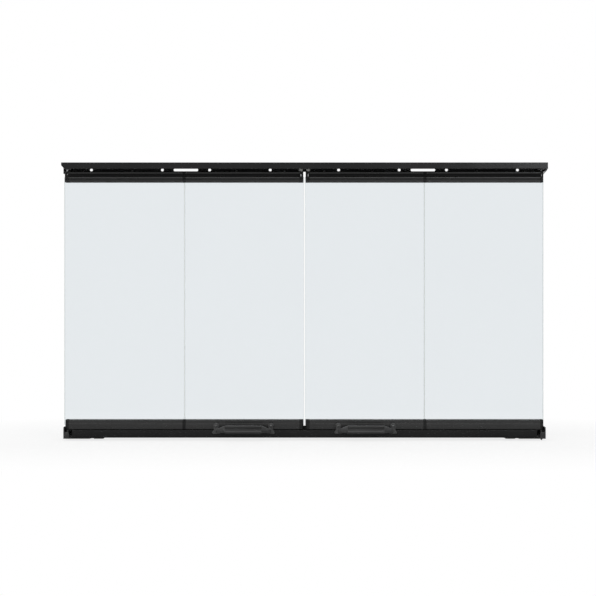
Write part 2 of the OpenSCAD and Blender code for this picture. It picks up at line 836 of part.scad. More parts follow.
// A downward channel under the flange in which the guide rollers run
module guide_channel() {
  half = pivot_x - guide_end;
  color(dark_grey) along_x(-half, 2 * half) difference() {
    translate([-pivot_front - guide_half - guide_t, guide_low])
      square([2 * (guide_half + guide_t), flange_z - guide_low]);
    translate([-pivot_front - guide_half, guide_low - cut]) square([2 * guide_half, guide_leg + cut]);
  }
}

// The block that takes the sprung pivot, with a spigot through the flange
module upper_pivot_socket() {
  lead_in = 0.8;
  color(nylon) difference() {
    union() {
      block([pivot_x - socket_l / 2, -pivot_front - socket_d / 2, socket_low],
            [pivot_x + socket_l / 2, -pivot_front + socket_d / 2, flange_z]);
      rod(pivot_x, -pivot_front, flange_z - cut, track_top, pivot_r + spigot_wall);
    }
    rod(pivot_x, -pivot_front, socket_low - cut, pivot_top + thrust_gap, pivot_r + run_fit);
    translate([pivot_x, -pivot_front, socket_low - 0.01])
      cylinder(r1 = pivot_r + run_fit + lead_in, r2 = pivot_r + run_fit, h = lead_in);
  }
}

// Section of the bottom track's floor and back wall, with or without the front lip
module sill_section(lip) {
  front = -sill_front;
  difference() {
    union() {
      translate([front + bend_r, 0]) square([sill_front + track_back - bend_r, sill_t]);
      translate([track_back - sill_t, 0]) square([sill_t, sill_back_h]);
      if (lip) {
        translate([front, bend_r]) square([sill_t, sill_lip_h - bend_r]);
        intersection() {
          translate([front + bend_r, bend_r]) circle(r = bend_r);
          translate([front, 0]) square([bend_r + 0.01, bend_r + 0.01]);
        }
      }
    }
    if (lip) translate([front + bend_r, bend_r]) circle(r = bend_r - sill_t);
  }
}

module bottom_track() {
  color(black) difference() {
    union() {
      along_x(-sill_half_l, 2 * sill_half_l) sill_section(false);
      along_x(-lip_half_l, 2 * lip_half_l) sill_section(true);
    }
    for (side = [-1, 1]) sided(side) {
      block([catch_at - notch_w / 2, -sill_front - cut, -cut],
            [catch_at + notch_w / 2, -sill_front + bend_r + 1, notch_h]);
      rod(pivot_x, -pivot_front, -cut, sill_t + cut, stud_r + push_fit);
      rod(bracket_out_x - hearth_hole_in, hearth_hole_back, -cut, sill_t + cut, mount_r);
      screw_holes_at(frame_screw_places());
    }
  }
}

// A folded bracket at the bottom track's end: base under the track, side plate and front tab
module lower_bracket() {
  front = -sill_front;
  slot_x = bracket_out_x - front_slot_in;
  color(dark_grey) difference() {
    union() {
      block([bracket_out_x - bracket_l, front, -bracket_t], [bracket_out_x, track_back, 0]);
      block([bracket_in_x, front, -bracket_t], [bracket_out_x, track_back, bracket_h]);
      block([bracket_out_x - tab_w, front, -bracket_t], [bracket_out_x, front + bracket_t, tab_h]);
    }
    block([slot_x - front_slot_w / 2, front - cut, -bracket_t - cut],
          [slot_x + front_slot_w / 2, front + front_slot_d, cut]);
    rod(pivot_x, -pivot_front, -bracket_t - cut, cut, stud_r + run_fit);
    rod(bracket_out_x - hearth_hole_in, hearth_hole_back, -bracket_t - cut, cut, mount_r);
    screw_holes_at(frame_screw_places());
  }
}

// The stud on which a door turns: pin, collar and a thread that reaches drop below the bracket
module lower_pivot_pin(drop) {
  collar_top = door_z - thrust_gap;
  point_l = stud_r * 1.2;
  tip = min(drop, point_l);
  color(steel) {
    rod(pivot_x, -pivot_front, collar_top - collar_h, collar_top, collar_r);
    rod(pivot_x, -pivot_front, collar_top - cut, door_z + lower_pivot_up, pivot_r);
    rod(pivot_x, -pivot_front, -bracket_t - drop + tip, collar_top - cut, stud_r);
    if (tip > 0)
      translate([pivot_x, -pivot_front, -bracket_t - drop]) cylinder(r1 = stud_r * 0.3, r2 = stud_r, h = tip);
  }
}

module lower_pivot_nuts() {
  color(steel) for (side = [-1, 1]) sided(side) difference() {
    translate([pivot_x, -pivot_front, sill_t])
      rotate([0, 0, 30]) cylinder(r = nut_af / sqrt(3), h = nut_t, $fn = 6);
    rod(pivot_x, -pivot_front, sill_t - cut, sill_t + nut_t + cut, stud_r + run_fit);
  }
}

// A magnetic catch on the track's floor, with two ears for its screws and two pole faces
module magnetic_catch() {
  half_w = catch_w / 2;
  pole_w = 3;
  pole_d = 1;
  pole_at = catch_w * 0.3;
  pole_z = [sill_t + catch_h * 0.45, sill_t + catch_h * 0.9];
  color(dark_grey) difference() {
    union() {
      block([catch_at - half_w, catch_front, sill_t], [catch_at + half_w, catch_back, sill_t + catch_h]);
      block([catch_at - half_w - ear_l, ear_y - ear_l / 2, sill_t],
            [catch_at + half_w + ear_l, ear_y + ear_l / 2, sill_t + ear_t]);
    }
    for (k = [-1, 1])
      block([catch_at + k * pole_at - pole_w / 2, catch_front - cut, pole_z[0]],
            [catch_at + k * pole_at + pole_w / 2, catch_front + pole_d, pole_z[1]]);
    screw_holes_at(frame_screw_places());
  }
}

module frame_screws() {
  color(steel) for (side = [-1, 1]) sided(side) screws_at(frame_screw_places());
}

top_track();
sided(-1) top_end_plate();  // left_top_end_plate
sided(1) top_end_plate();  // right_top_end_plate
top_end_plate_rivets();
guide_channel();
sided(-1) upper_pivot_socket();  // left_upper_pivot_socket
sided(1) upper_pivot_socket();  // right_upper_pivot_socket
bottom_track();
sided(-1) lower_bracket();  // left_lower_bracket
sided(1) lower_bracket();  // right_lower_bracket
sided(-1) lower_pivot_pin(0);  // left_lower_pivot_pin
sided(1) lower_pivot_pin(right_pivot_drop);  // right_lower_pivot_pin
lower_pivot_nuts();
sided(-1) magnetic_catch();  // left_magnetic_catch
sided(1) magnetic_catch();  // right_magnetic_catch
frame_screws();

on_door(-1, false) glass();  // left_outer_glass
on_door(-1, false) rail(false, true);  // left_outer_top_rail
on_door(-1, false) rail(false, false);  // left_outer_bottom_rail
on_door(-1, false) gaskets();  // left_outer_gaskets
on_door(-1, false) end_caps(false);  // left_outer_end_caps
on_door(-1, false) door_screw_set(false);  // left_outer_screws
on_door(-1, false) hinge_leaves(false);  // left_outer_hinge_leaves
on_door(-1, false) hinge_pins();  // left_hinge_pins
on_door(-1, false) upper_pivot_pin();  // left_upper_pivot_pin
on_door(-1, false) upper_pivot_spring();  // left_upper_pivot_spring

on_door(-1, true) glass();  // left_inner_glass
on_door(-1, true) rail(true, true);  // left_inner_top_rail
on_door(-1, true) rail(true, false);  // left_inner_bottom_rail
on_door(-1, true) gaskets();  // left_inner_gaskets
on_door(-1, true) end_caps(true);  // left_inner_end_caps
on_door(-1, true) door_screw_set(true);  // left_inner_screws
on_door(-1, true) hinge_leaves(true);  // left_inner_hinge_leaves
on_door(-1, true) guide_pin();  // left_guide_pin
on_door(-1, true) guide_roller();  // left_guide_roller
on_door(-1, true) handle_brackets();  // left_handle_brackets
on_door(-1, true) handle_grip();  // left_handle_grip
on_door(-1, true) strike_plate();  // left_strike_plate

on_door(1, false) glass();  // right_outer_glass
on_door(1, false) rail(false, true);  // right_outer_top_rail
on_door(1, false) rail(false, false);  // right_outer_bottom_rail
on_door(1, false) gaskets();  // right_outer_gaskets
on_door(1, false) end_caps(false);  // right_outer_end_caps
on_door(1, false) door_screw_set(false);  // right_outer_screws
on_door(1, false) hinge_leaves(false);  // right_outer_hinge_leaves
on_door(1, false) hinge_pins();  // right_hinge_pins
on_door(1, false) upper_pivot_pin();  // right_upper_pivot_pin
on_door(1, false) upper_pivot_spring();  // right_upper_pivot_spring

on_door(1, true) glass();  // right_inner_glass
on_door(1, true) rail(true, true);  // right_inner_top_rail
on_door(1, true) rail(true, false);  // right_inner_bottom_rail
on_door(1, true) gaskets();  // right_inner_gaskets
on_door(1, true) end_caps(true);  // right_inner_end_caps
on_door(1, true) door_screw_set(true);  // right_inner_screws
on_door(1, true) hinge_leaves(true);  // right_inner_hinge_leaves
on_door(1, true) guide_pin();  // right_guide_pin
on_door(1, true) guide_roller();  // right_guide_roller
on_door(1, true) handle_brackets();  // right_handle_brackets
on_door(1, true) handle_grip();  // right_handle_grip
on_door(1, true) strike_plate();  // right_strike_plate
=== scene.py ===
"""Folding glass door set for a fireplace, dressed for rendering.

Four glass leaves in two folding pairs stand between a top track and a bottom track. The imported
model gives every piece's place. This script gives the visible pieces their finer shapes and all
of them their finishes, and adds the floor, the lamps and the camera.

Lengths in the dataclasses are in millimetres. Meshes are written in metres, in the frame of the
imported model: +X to the right, -Y towards the room, +Z up.
"""

import logging
import math
from dataclasses import dataclass, field
from enum import Enum
from typing import Callable, Iterable, Sequence

import bpy
import numpy as np
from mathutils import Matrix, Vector


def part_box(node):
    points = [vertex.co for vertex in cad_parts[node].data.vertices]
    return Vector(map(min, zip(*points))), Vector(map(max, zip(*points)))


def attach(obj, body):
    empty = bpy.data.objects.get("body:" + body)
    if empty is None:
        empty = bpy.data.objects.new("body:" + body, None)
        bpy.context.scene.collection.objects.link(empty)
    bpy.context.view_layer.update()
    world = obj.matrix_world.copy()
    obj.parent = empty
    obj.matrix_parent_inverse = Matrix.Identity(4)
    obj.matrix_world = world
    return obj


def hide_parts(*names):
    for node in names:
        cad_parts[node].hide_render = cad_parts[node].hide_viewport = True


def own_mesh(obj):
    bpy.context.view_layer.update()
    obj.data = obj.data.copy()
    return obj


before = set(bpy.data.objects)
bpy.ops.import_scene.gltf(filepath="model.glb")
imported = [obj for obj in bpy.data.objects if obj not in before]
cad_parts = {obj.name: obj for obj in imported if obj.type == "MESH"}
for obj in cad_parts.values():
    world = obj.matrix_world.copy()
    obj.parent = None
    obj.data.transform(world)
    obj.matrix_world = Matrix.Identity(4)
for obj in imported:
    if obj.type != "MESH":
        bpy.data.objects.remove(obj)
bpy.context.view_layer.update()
LOG = logging.getLogger("fireplace_doors")
MM = 0.001
HOLD = 0.1  # mm from an edge to the extra points beside it, which keep a flat face evenly shaded
Triple = tuple[float, float, float]
Colour = Triple
Span = tuple[float, float]
Socket = bpy.types.NodeSocket


# ----------------------------------------
# Shapes
# ----------------------------------------


@dataclass
class Shell:
    """One or more closed skins as whole arrays, in millimetres.

    Attributes:
        points: (n, 3) places.
        quads: (k, 4) point numbers of the four-sided faces.
        plates: point numbers of each many-sided face, such as a flat end.
    """

    points: np.ndarray
    quads: np.ndarray
    plates: list[np.ndarray] = field(default_factory=list)

    @staticmethod
    def from_rings(rings: np.ndarray, closed: bool = False) -> "Shell":
        """Joins rings of points into a skin.

        Point (i, j) is ring i at place j round the ring. Each face joins (i, j), (i, j+1),
        (i+1, j+1) and (i+1, j), with j counted round. The first and last ring get a flat plate,
        or meet each other where the skin is closed.

        Args:
            rings: (m, n, 3) places.
            closed: whether the last ring joins the first.

        Returns:
            The skin.
        """
        m, n = rings.shape[:2]
        number = np.arange(m * n).reshape(m, n)
        here = number if closed else number[:-1]
        there = np.roll(number, -1, 0) if closed else number[1:]
        quads = np.stack([here, np.roll(here, -1, 1), np.roll(there, -1, 1), there], -1)
        plates = [] if closed else [number[0][::-1], number[-1]]
        return Shell(rings.reshape(-1, 3).astype(float), quads.reshape(-1, 4), plates)

    def joined(self, *others: "Shell") -> "Shell":
        """Puts this skin and others into one, side by side.

        Args:
            others: the skins to add.

        Returns:
            One shell that holds them all.
        """
        parts = [self, *others]
        starts = np.cumsum([0] + [len(p.points) for p in parts[:-1]])
        return Shell(
            np.concatenate([p.points for p in parts]),
            np.concatenate([p.quads + s for p, s in zip(parts, starts)]),
            [plate + s for p, s in zip(parts, starts) for plate in p.plates],
        )

    def mapped(self, rule: Callable[[np.ndarray], np.ndarray]) -> "Shell":
        """Carries every point through a rule that takes and gives an (n, 3) array."""
        return Shell(rule(self.points), self.quads, self.plates)

    def moved(self, x: float = 0.0, y: float = 0.0, z: float = 0.0) -> "Shell":
        """Shifts the skin."""
        return self.mapped(lambda p: p + np.array([x, y, z]))

    def mirrored(self, k: int) -> "Shell":
        """The skin itself for k = 1, and its mirror image in the plane x = 0 for k = -1."""
        return self.mapped(lambda p: p * np.array([k, 1, 1]))

    def outward(self) -> "Shell":
        """Turns all faces round if they point inwards.

        The signed volume is the sum over triangles of a . (b x c) / 6. It is positive where the
        faces point outwards.

        Returns:
            The shell with its faces pointing out.
        """
        p = self.points
        fans = [np.stack([np.full(len(f) - 2, f[0]), f[1:-1], f[2:]], -1) for f in self.plates]
        triangles = np.concatenate([self.quads[:, [0, 1, 2]], self.quads[:, [0, 2, 3]], *fans])
        a, b, c = p[triangles[:, 0]], p[triangles[:, 1]], p[triangles[:, 2]]
        if np.einsum("ij,ij->i", a, np.cross(b, c)).sum() < 0:
            return Shell(p, self.quads[:, ::-1], [f[::-1] for f in self.plates])
        return self


def joined(shells: Iterable[Shell]) -> Shell:
    """Puts several shells into one, each with its faces pointing out."""
    first, *rest = (shell.outward() for shell in shells)
    return first.joined(*rest)


def fillet(chain: np.ndarray, radius: float | np.ndarray, steps: int = 5) -> np.ndarray:
    """Rounds the inner corners of an open chain of points.

    At a corner with half angle h between its two sides, the arc of radius r starts r / tan(h)
    along each side and turns about a centre r / sin(h) along the bisector. The arc's points are
    the even turn (slerp) from one touching point to the other.

    Args:
        chain: (n, 2) corners; the first and last stay as they are.
        radius: one radius, or one for each of the n - 2 inner corners.
        steps: points on each arc.

    Returns:
        The chain with its inner corners rounded.
    """
    corner, back, ahead = chain[1:-1], chain[:-2] - chain[1:-1], chain[2:] - chain[1:-1]
    back = back / np.linalg.norm(back, axis=1, keepdims=True)
    ahead = ahead / np.linalg.norm(ahead, axis=1, keepdims=True)
    half = np.arccos(np.clip((back * ahead).sum(1), -1, 1)) / 2
    r = np.broadcast_to(np.asarray(radius, float), half.shape)
    bisector = back + ahead
    bisector = bisector / np.linalg.norm(bisector, axis=1, keepdims=True)
    centre = corner + bisector * (r / np.sin(half))[:, None]
    u = corner + back * (r / np.tan(half))[:, None] - centre
    v = corner + ahead * (r / np.tan(half))[:, None] - centre
    turn = (np.pi - 2 * half)[:, None]
    t = np.linspace(0, 1, steps)[None, :]
    a, b = np.sin((1 - t) * turn) / np.sin(turn), np.sin(t * turn) / np.sin(turn)
    arcs = centre[:, None] + a[..., None] * u[:, None] + b[..., None] * v[:, None]
    return np.concatenate([chain[:1], arcs.reshape(-1, 2), chain[-1:]])


def rounded(corners: Sequence[Sequence[float]], radius: float | np.ndarray, steps: int = 5) -> np.ndarray:
    """Rounds every corner of a closed outline.

    Args:
        corners: (n, 2) corners in order.
        radius: one radius, or one for each corner.
        steps: points on each arc.

    Returns:
        (n * steps, 2) points round the outline.
    """
    c = np.asarray(corners, float)
    return fillet(np.concatenate([c[-1:], c, c[:1]]), radius, steps)[1:-1]


def inset(outline: np.ndarray, by: float) -> np.ndarray:
    """Moves a closed outline inwards, each point along the mean normal of its two sides.

    Args:
        outline: (n, 2) closed outline.
        by: the distance, which is small.

    Returns:
        The smaller outline.
    """
    along = np.roll(outline, -1, 0) - np.roll(outline, 1, 0)
    normal = np.stack([-along[:, 1], along[:, 0]], -1)
    normal = normal / np.maximum(np.linalg.norm(normal, axis=1, keepdims=True), 1e-9)
    x, y = outline[:, 0], outline[:, 1]
    area = (x * np.roll(y, -1) - np.roll(x, -1) * y).sum()
    return outline + normal * (by if area > 0 else -by)


def held(outline: np.ndarray, gap: float = HOLD, least: float = 0.8) -> np.ndarray:
    """Adds points near both ends of an outline's long sides, which keep their shading flat.

    Args:
        outline: (n, 2) closed outline.
        gap: distance of the added points from the corners.
        least: shortest side that gets them.

    Returns:
        The outline with the added points.
    """
    ahead = np.roll(outline, -1, 0)
    length = np.linalg.norm(ahead - outline, axis=1, keepdims=True)
    step = (ahead - outline) / np.maximum(length, 1e-9) * gap
    triples = np.stack([outline, outline + step, ahead - step], 1)
    keep = np.concatenate([np.ones_like(length), length > least, length > least], 1).astype(bool)
    return triples[keep]


class Plane(Enum):
    """Which two axes an outline is drawn in, and which one it is carried along.

    The value tells where x, y and z come from: 0 and 1 are the outline's own axes, and 2 is the
    axis that it is carried along.
    """

    YZ_ALONG_X = (2, 0, 1)
    XZ_ALONG_Y = (0, 2, 1)
    XY_ALONG_Z = (0, 1, 2)


def slab(outline: np.ndarray, low: float, high: float, edge: float, plane: Plane, steps: int = 3) -> Shell:
    """Carries an outline from low to high, with rounded edges at both ends.

    At turn t from 0 to a quarter turn, the outline lies edge * (1 - cos t) from the end's plane
    and edge * (1 - sin t) inside its full size.

    Args:
        outline: (n, 2) closed outline.
        low: start along the carrying axis.
        high: end along it.
        edge: radius of the edges.
        plane: the axes of the outline.
        steps: rings on each rounded edge.

    Returns:
        A closed skin.
    """
    t = np.linspace(0, np.pi / 2, steps) if edge > 0 else np.array([np.pi / 2])
    away, inward = edge * (1 - np.cos(t)), edge * (1 - np.sin(t))
    places = np.concatenate([low + away, high - away[::-1]])
    shrink = np.concatenate([inward, inward[::-1]])
    if edge > 0 and high - low > 2 * edge + 5 * HOLD:
        places = np.insert(places, len(away), [low + edge + HOLD, high - edge - HOLD])
        shrink = np.insert(shrink, len(away), [0.0, 0.0])
    outline = held(outline)
    flat = np.stack([inset(outline, s) for s in shrink])
    along = np.broadcast_to(places[:, None], flat.shape[:2])
    return Shell.from_rings(np.stack([flat[..., 0], flat[..., 1], along], -1)[..., list(plane.value)])


def circle(u: float, v: float, r: float, sides: int = 32) -> np.ndarray:
    """A round outline about (u, v)."""
    t = np.linspace(0, 2 * np.pi, sides, endpoint=False)
    return np.stack([u + r * np.cos(t), v + r * np.sin(t)], -1)


def plug(u: float, v: float, r: float, low: float, high: float, plane: Plane, sides: int = 32) -> Shell:
    """A round bar about (u, v) with sharp ends, for cutting a hole."""
    return slab(circle(u, v, r, sides), low, high, 0, plane)


def about(middle: float, half: float) -> Span:
    """The span that reaches half to each side of a middle."""
    return middle - half, middle + half


def panel(u: Span, v: Span, radii: float | Sequence[float], steps: int = 5) -> np.ndarray:
    """A rectangle with rounded corners, from its low corner counter-clockwise."""
    return rounded([(u[0], v[0]), (u[1], v[0]), (u[1], v[1]), (u[0], v[1])], np.asarray(radii, float), steps)


def lathe(reach: np.ndarray, z: np.ndarray, turn: np.ndarray, closed: bool = False) -> Shell:
    """A skin about the Z axis: the point at height z and turn t is (reach cos t, reach sin t, z).

    Args:
        reach: (n, k) distances from the axis.
        z: (n,) heights of the rings.
        turn: (k,) turns, in radians.
        closed: whether the last ring joins the first.

    Returns:
        A closed skin.
    """
    heights = np.broadcast_to(z[:, None], reach.shape)
    return Shell.from_rings(np.stack([reach * np.cos(turn), reach * np.sin(turn), heights], -1), closed)


def turned(profile: np.ndarray, sides: int = 48, closed: bool = False) -> Shell:
    """Turns a profile about the Z axis.

    Args:
        profile: (n, 2) radii and heights.
        sides: points round the axis.
        closed: whether the profile is a closed loop, as for a piece with a bore.

    Returns:
        A closed skin.
    """
    turn = np.linspace(0, 2 * np.pi, sides, endpoint=False)
    return lathe(np.broadcast_to(profile[:, :1], (len(profile), sides)), profile[:, 1], turn, closed)


def coil(r: float, wire: float, low: float, high: float, turns: float) -> Shell:
    """A compression spring about the Z axis.

    The wire's centre is (r cos t, r sin t, z). z rises evenly but for a slow wave, so that the
    coils lie a little closer at a quarter and at three quarters of the height. Each ring of the
    wire stands in the plane of the axis.

    Args:
        r: radius of the coils.
        wire: radius of the wire.
        low: lower end.
        high: upper end.
        turns: number of coils.

    Returns:
        A closed skin.
    """
    rings_a_turn, sides, wave = 24, 8, 0.03
    t = np.linspace(0, 1, int(turns * rings_a_turn))[:, None]
    a = 2 * np.pi * turns * t
    rise = t + wave * np.sin(4 * np.pi * t)
    z = low + wire + (high - low - 2 * wire) * rise
    turn = np.linspace(0, 2 * np.pi, sides, endpoint=False)
    reach = r + wire * np.cos(turn)
    return Shell.from_rings(np.stack([reach * np.cos(a), reach * np.sin(a), z + wire * np.sin(turn)], -1))


def smooth_step(x: np.ndarray) -> np.ndarray:
    """Rises from 0 to 1 as 3x^2 - 2x^3, and stays level outside."""
    x = np.clip(x, 0, 1)
    return x * x * (3 - 2 * x)


def smooth_max(a: np.ndarray, b: np.ndarray, k: float) -> np.ndarray:
    """The larger of a and b, blended over a width k: (a + b + sqrt((a - b)^2 + k^2) - k) / 2."""
    return (a + b + np.sqrt((a - b) ** 2 + k * k) - k) / 2


# ----------------------------------------
# Finishes
# ----------------------------------------


class Nodes:
    """Short calls that write the nodes of one tree."""

    def __init__(self, tree: bpy.types.NodeTree) -> None:
        """Takes the tree that the nodes go into."""
        self.tree = tree

    def feed(self, socket: Socket, value: object) -> None:
        """Links a socket to another one, or sets its plain value."""
        if isinstance(value, Socket):
            self.tree.links.new(value, socket)
        else:
            socket.default_value = value

    def add(self, kind: str, feeds: dict[str | int, object] | None = None,
            **settings: object) -> bpy.types.Node:
        """Adds a node.

        Args:
            kind: its type.
            feeds: what its sockets get, by the socket's name or number.
            settings: its properties.

        Returns:
            The new node.
        """
        node = self.tree.nodes.new(kind)
        for key, value in settings.items():
            setattr(node, key, value)
        for key, value in (feeds or {}).items():
            self.feed(node.inputs[key], value)
        return node

    def spread(self, value: Socket, low: float, high: float, start: float = 0.3, end: float = 0.7) -> Socket:
        """Maps start..end of a value onto low..high, and clamps it."""
        ends = {"From Min": start, "From Max": end, "To Min": low, "To Max": high}
        return self.add("ShaderNodeMapRange", {**ends, "Value": value}).outputs["Result"]

    def math(self, rule: str, a: object, b: object) -> Socket:
        """One arithmetic step."""
        return self.add("ShaderNodeMath", {0: a, 1: b}, operation=rule).outputs[0]

    def vector(self, rule: str, a: object, b: object = (0.0, 0.0, 0.0)) -> bpy.types.Node:
        """One step of vector arithmetic."""
        return self.add("ShaderNodeVectorMath", {0: a, 1: b}, operation=rule)

    def axis(self, value: Socket, name: str) -> Socket:
        """The X, Y or Z of a vector."""
        return self.add("ShaderNodeSeparateXYZ", {0: value}).outputs[name]

    def blend(self, share: object, a: object, b: object) -> Socket:
        """Mixes two colours.

        Args:
            share: share of the second one, from 0 to 1.
            a: the first colour, plain or from a node.
            b: the second one.

        Returns:
            The mixed colour.
        """
        node = self.add("ShaderNodeMix", {"Factor": share}, data_type="RGBA")
        colours = [s for s in node.inputs if s.type == "RGBA"]
        for socket, value in zip(colours, (a, b)):
            self.feed(socket, (*value, 1.0) if isinstance(value, tuple) else value)
        return next(s for s in node.outputs if s.type == "RGBA")

    def rays(self) -> tuple[Socket, Socket]:
        """Masks of the rays that show a surface itself, straight or through glass, and of gloss."""
        path = self.add("ShaderNodeLightPath").outputs
        return self.math("MAXIMUM", path["Is Camera Ray"], path["Is Transmission Ray"]), path["Is Glossy Ray"]


class NodeBook(Nodes):
    """The nodes of one material."""

    def __init__(self, name: str) -> None:
        """Starts a material with its shader and the piece's own coordinates."""
        self.material = bpy.data.materials.new(name)
        self.material.use_nodes = True
        super().__init__(self.material.node_tree)
        self.shader = self.tree.nodes["Principled BSDF"]
        self.place = self.add("ShaderNodeTexCoord").outputs["Object"]

    def shaded(self, looks: dict[str, object]) -> bpy.types.Material:
        """Feeds the shader's sockets by name and hands the material over."""
        for name, value in looks.items():
            self.feed(self.shader.inputs[name], value)
        return self.material

    def noise(self, scale: float, detail: float, stretch: Triple = (1.0, 1.0, 1.0)) -> Socket:
        """Fractal noise on the piece's own coordinates.

        Args:
            scale: features in a metre.
            detail: octaves.
            stretch: factor on each axis; a small one draws the pattern out along it.

        Returns:
            The noise value, about 0.3 to 0.7.
        """
        place = self.add("ShaderNodeMapping", {"Scale": stretch, "Vector": self.place}).outputs["Vector"]
        looks = {"Vector": place, "Scale": scale, "Detail": detail, "Roughness": 0.55}
        return self.add("ShaderNodeTexNoise", looks).outputs["Fac"]

    def bump(self, height: Socket, depth: float, normal: Socket | None = None,
             strength: float = 1.0) -> Socket:
        """A bump of the given depth in metres, on top of an earlier normal if there is one."""
        node = self.add("ShaderNodeBump", {"Strength": strength, "Distance": depth, "Height": height})
        if normal is not None:
            self.feed(node.inputs["Normal"], normal)
        return node.outputs["Normal"]

    def soft_edge(self, radius: float) -> tuple[Socket, Socket]:
        """Rounds the shading of sharp edges.

        Args:
            radius: radius of the rounding, in metres.

        Returns:
            The rounded normal, and a mask that is 0 on flat faces and up to 1 on edges.
        """
        bevel = self.add("ShaderNodeBevel", {"Radius": radius}, samples=6).outputs["Normal"]
        likeness = self.vector("DOT_PRODUCT", bevel, self.add("ShaderNodeNewGeometry").outputs["Normal"])
        return bevel, self.spread(likeness.outputs["Value"], 1.0, 0.0, start=0.86, end=0.995)

    def upward(self) -> Socket:
        """A mask that is 1 on faces that look up, where dust settles."""
        normal = self.add("ShaderNodeNewGeometry").outputs["Normal"]
        return self.spread(self.axis(normal, "Z"), 0.0, 1.0, start=0.55, end=1.0)


def grey(level: float) -> Colour:
    """An even grey."""
    return level, level, level


def toned(colour: Colour, factor: float, lift: float = 0.0) -> Colour:
    """A colour times a factor, plus a lift, and nowhere above 1."""
    return tuple(min(1.0, c * factor + lift) for c in colour)


@dataclass(frozen=True)
class Enamel:
    """Baked enamel or powder coat on metal: fine peel, worn edges and a little dust on top.

    Attributes:
        name: material name.
        colour: the coat's colour.
        worn: colour along the edges.
        roughness: middle roughness.
        specular: strength of the plain reflection.
        peel: depth of the peel, in metres.
        grain: features of the peel in a metre.
        drawn: factor along X that draws the pattern out, as on an extrusion.
        edge: radius of the shaded edges, in metres.
        wear: strength of the edge colour.
        dust: colour of the dust on faces that look up.
    """

    name: str
    colour: Colour
    worn: Colour
    roughness: float
    specular: float
    peel: float
    grain: float
    drawn: float = 1.0
    edge: float = 0.00035
    wear: float = 0.35
    dust: Colour = (0.16, 0.155, 0.145)

    def material(self) -> bpy.types.Material:
        """Builds the material: slow clouds of tone, chipped edges, dust on top and wiped streaks.

        Returns:
            The finished material.
        """
        book = NodeBook(self.name)
        soft, edge_mask = book.soft_edge(self.edge)
        cloud = book.noise(14.0, detail=4.0)
        peel = book.noise(self.grain, detail=2.0, stretch=(self.drawn, 1.0, 1.0))
        tone = book.blend(book.spread(cloud, 0.0, 1.0), toned(self.colour, 0.8), toned(self.colour, 1.25))
        chipped = book.spread(book.noise(260.0, detail=4.0), 0.1, 1.0, start=0.4, end=0.62)
        chips = book.math("MULTIPLY", edge_mask, chipped)
        tone = book.blend(book.math("MULTIPLY", chips, self.wear), tone, self.worn)
        settled = book.spread(book.noise(70.0, detail=4.0), 0.0, 0.06, start=0.42, end=0.75)
        dust = book.math("MULTIPLY", book.upward(), settled)
        tone = book.blend(dust, tone, self.dust)
        wiped = book.spread(book.noise(40.0, detail=5.0, stretch=(0.25, 1.0, 1.0)), -0.05, 0.07)
        rough = book.math("ADD", wiped, book.math("ADD", dust, self.roughness))
        return book.shaded({"Base Color": tone, "Roughness": rough, "Specular IOR Level": self.specular,
                            "Normal": book.bump(peel, self.peel, soft)})


@dataclass(frozen=True)
class Steel:
    """Bare or plated steel with a turned or drawn grain and a patchy plating.

    Attributes:
        name: material name.
        colour: the metal's colour.
        stain: colour of its duller patches.
        roughness: middle roughness.
        stretch: factors that draw the grain out.
        depth: depth of the grain, in metres.
        edge: radius of the shaded edges, in metres.
    """

    name: str
    colour: Colour
    stain: Colour
    roughness: float
    stretch: Triple = (1.0, 1.0, 0.05)
    depth: float = 0.000012
    edge: float = 0.00015

    def material(self) -> bpy.types.Material:
        """Builds the material: duller patches, brighter edges and a fine grain.

        Returns:
            The finished material.
        """
        book = NodeBook(self.name)
        soft, edge_mask = book.soft_edge(self.edge)
        patch = book.spread(book.noise(220.0, detail=5.0), 0.0, 1.0, start=0.38, end=0.66)
        grain = book.noise(2600.0, detail=2.0, stretch=self.stretch)
        tone = book.blend(patch, self.colour, self.stain)
        tone = book.blend(book.math("MULTIPLY", edge_mask, 0.4), tone, toned(self.colour, 1.3))
        dull = book.spread(patch, self.roughness, self.roughness + 0.12, start=0, end=1)
        rough = book.math("ADD", book.spread(grain, -0.07, 0.09), dull)
        return book.shaded({"Base Color": tone, "Metallic": 1.0, "Roughness": rough,
                            "Normal": book.bump(grain, self.depth, soft, strength=0.7)})


@dataclass(frozen=True)
class Moulded:
    """Moulded plastic or rubber: even colour with faint flow marks and a fine matt grain.

    Attributes:
        name: material name.
        colour: the plastic's colour.
        roughness: middle roughness.
        grain: depth of the surface grain, in metres.
        glow: share of light that spreads under the surface.
        specular: strength of the plain reflection.
        edge: radius of the shaded edges, in metres.
    """

    name: str
    colour: Colour
    roughness: float
    grain: float
    glow: float = 0.0
    specular: float = 0.4
    edge: float = 0.0002

    def material(self) -> bpy.types.Material:
        """Builds the material: flow marks along X, paler edges and, where it glows, spread light.

        Returns:
            The finished material.
        """
        book = NodeBook(self.name)
        soft, edge_mask = book.soft_edge(self.edge)
        flow = book.spread(book.noise(90.0, detail=4.0, stretch=(0.4, 1.0, 1.0)), 0.0, 1.0)
        tone = book.blend(flow, toned(self.colour, 0.86), toned(self.colour, 1.12))
        tone = book.blend(book.math("MULTIPLY", edge_mask, 0.25), tone, toned(self.colour, 1.4, 0.01))
        rough = book.spread(flow, self.roughness - 0.05, self.roughness + 0.06, start=0, end=1)
        looks = {"Base Color": tone, "Roughness": rough, "Specular IOR Level": self.specular,
                 "Normal": book.bump(book.noise(1500.0, detail=3.0), self.grain, soft)}
        if self.glow:
            looks |= {"Subsurface Weight": self.glow, "Subsurface Radius": (0.6, 0.5, 0.4),
                      "Subsurface Scale": 0.002}
        return book.shaded(looks)


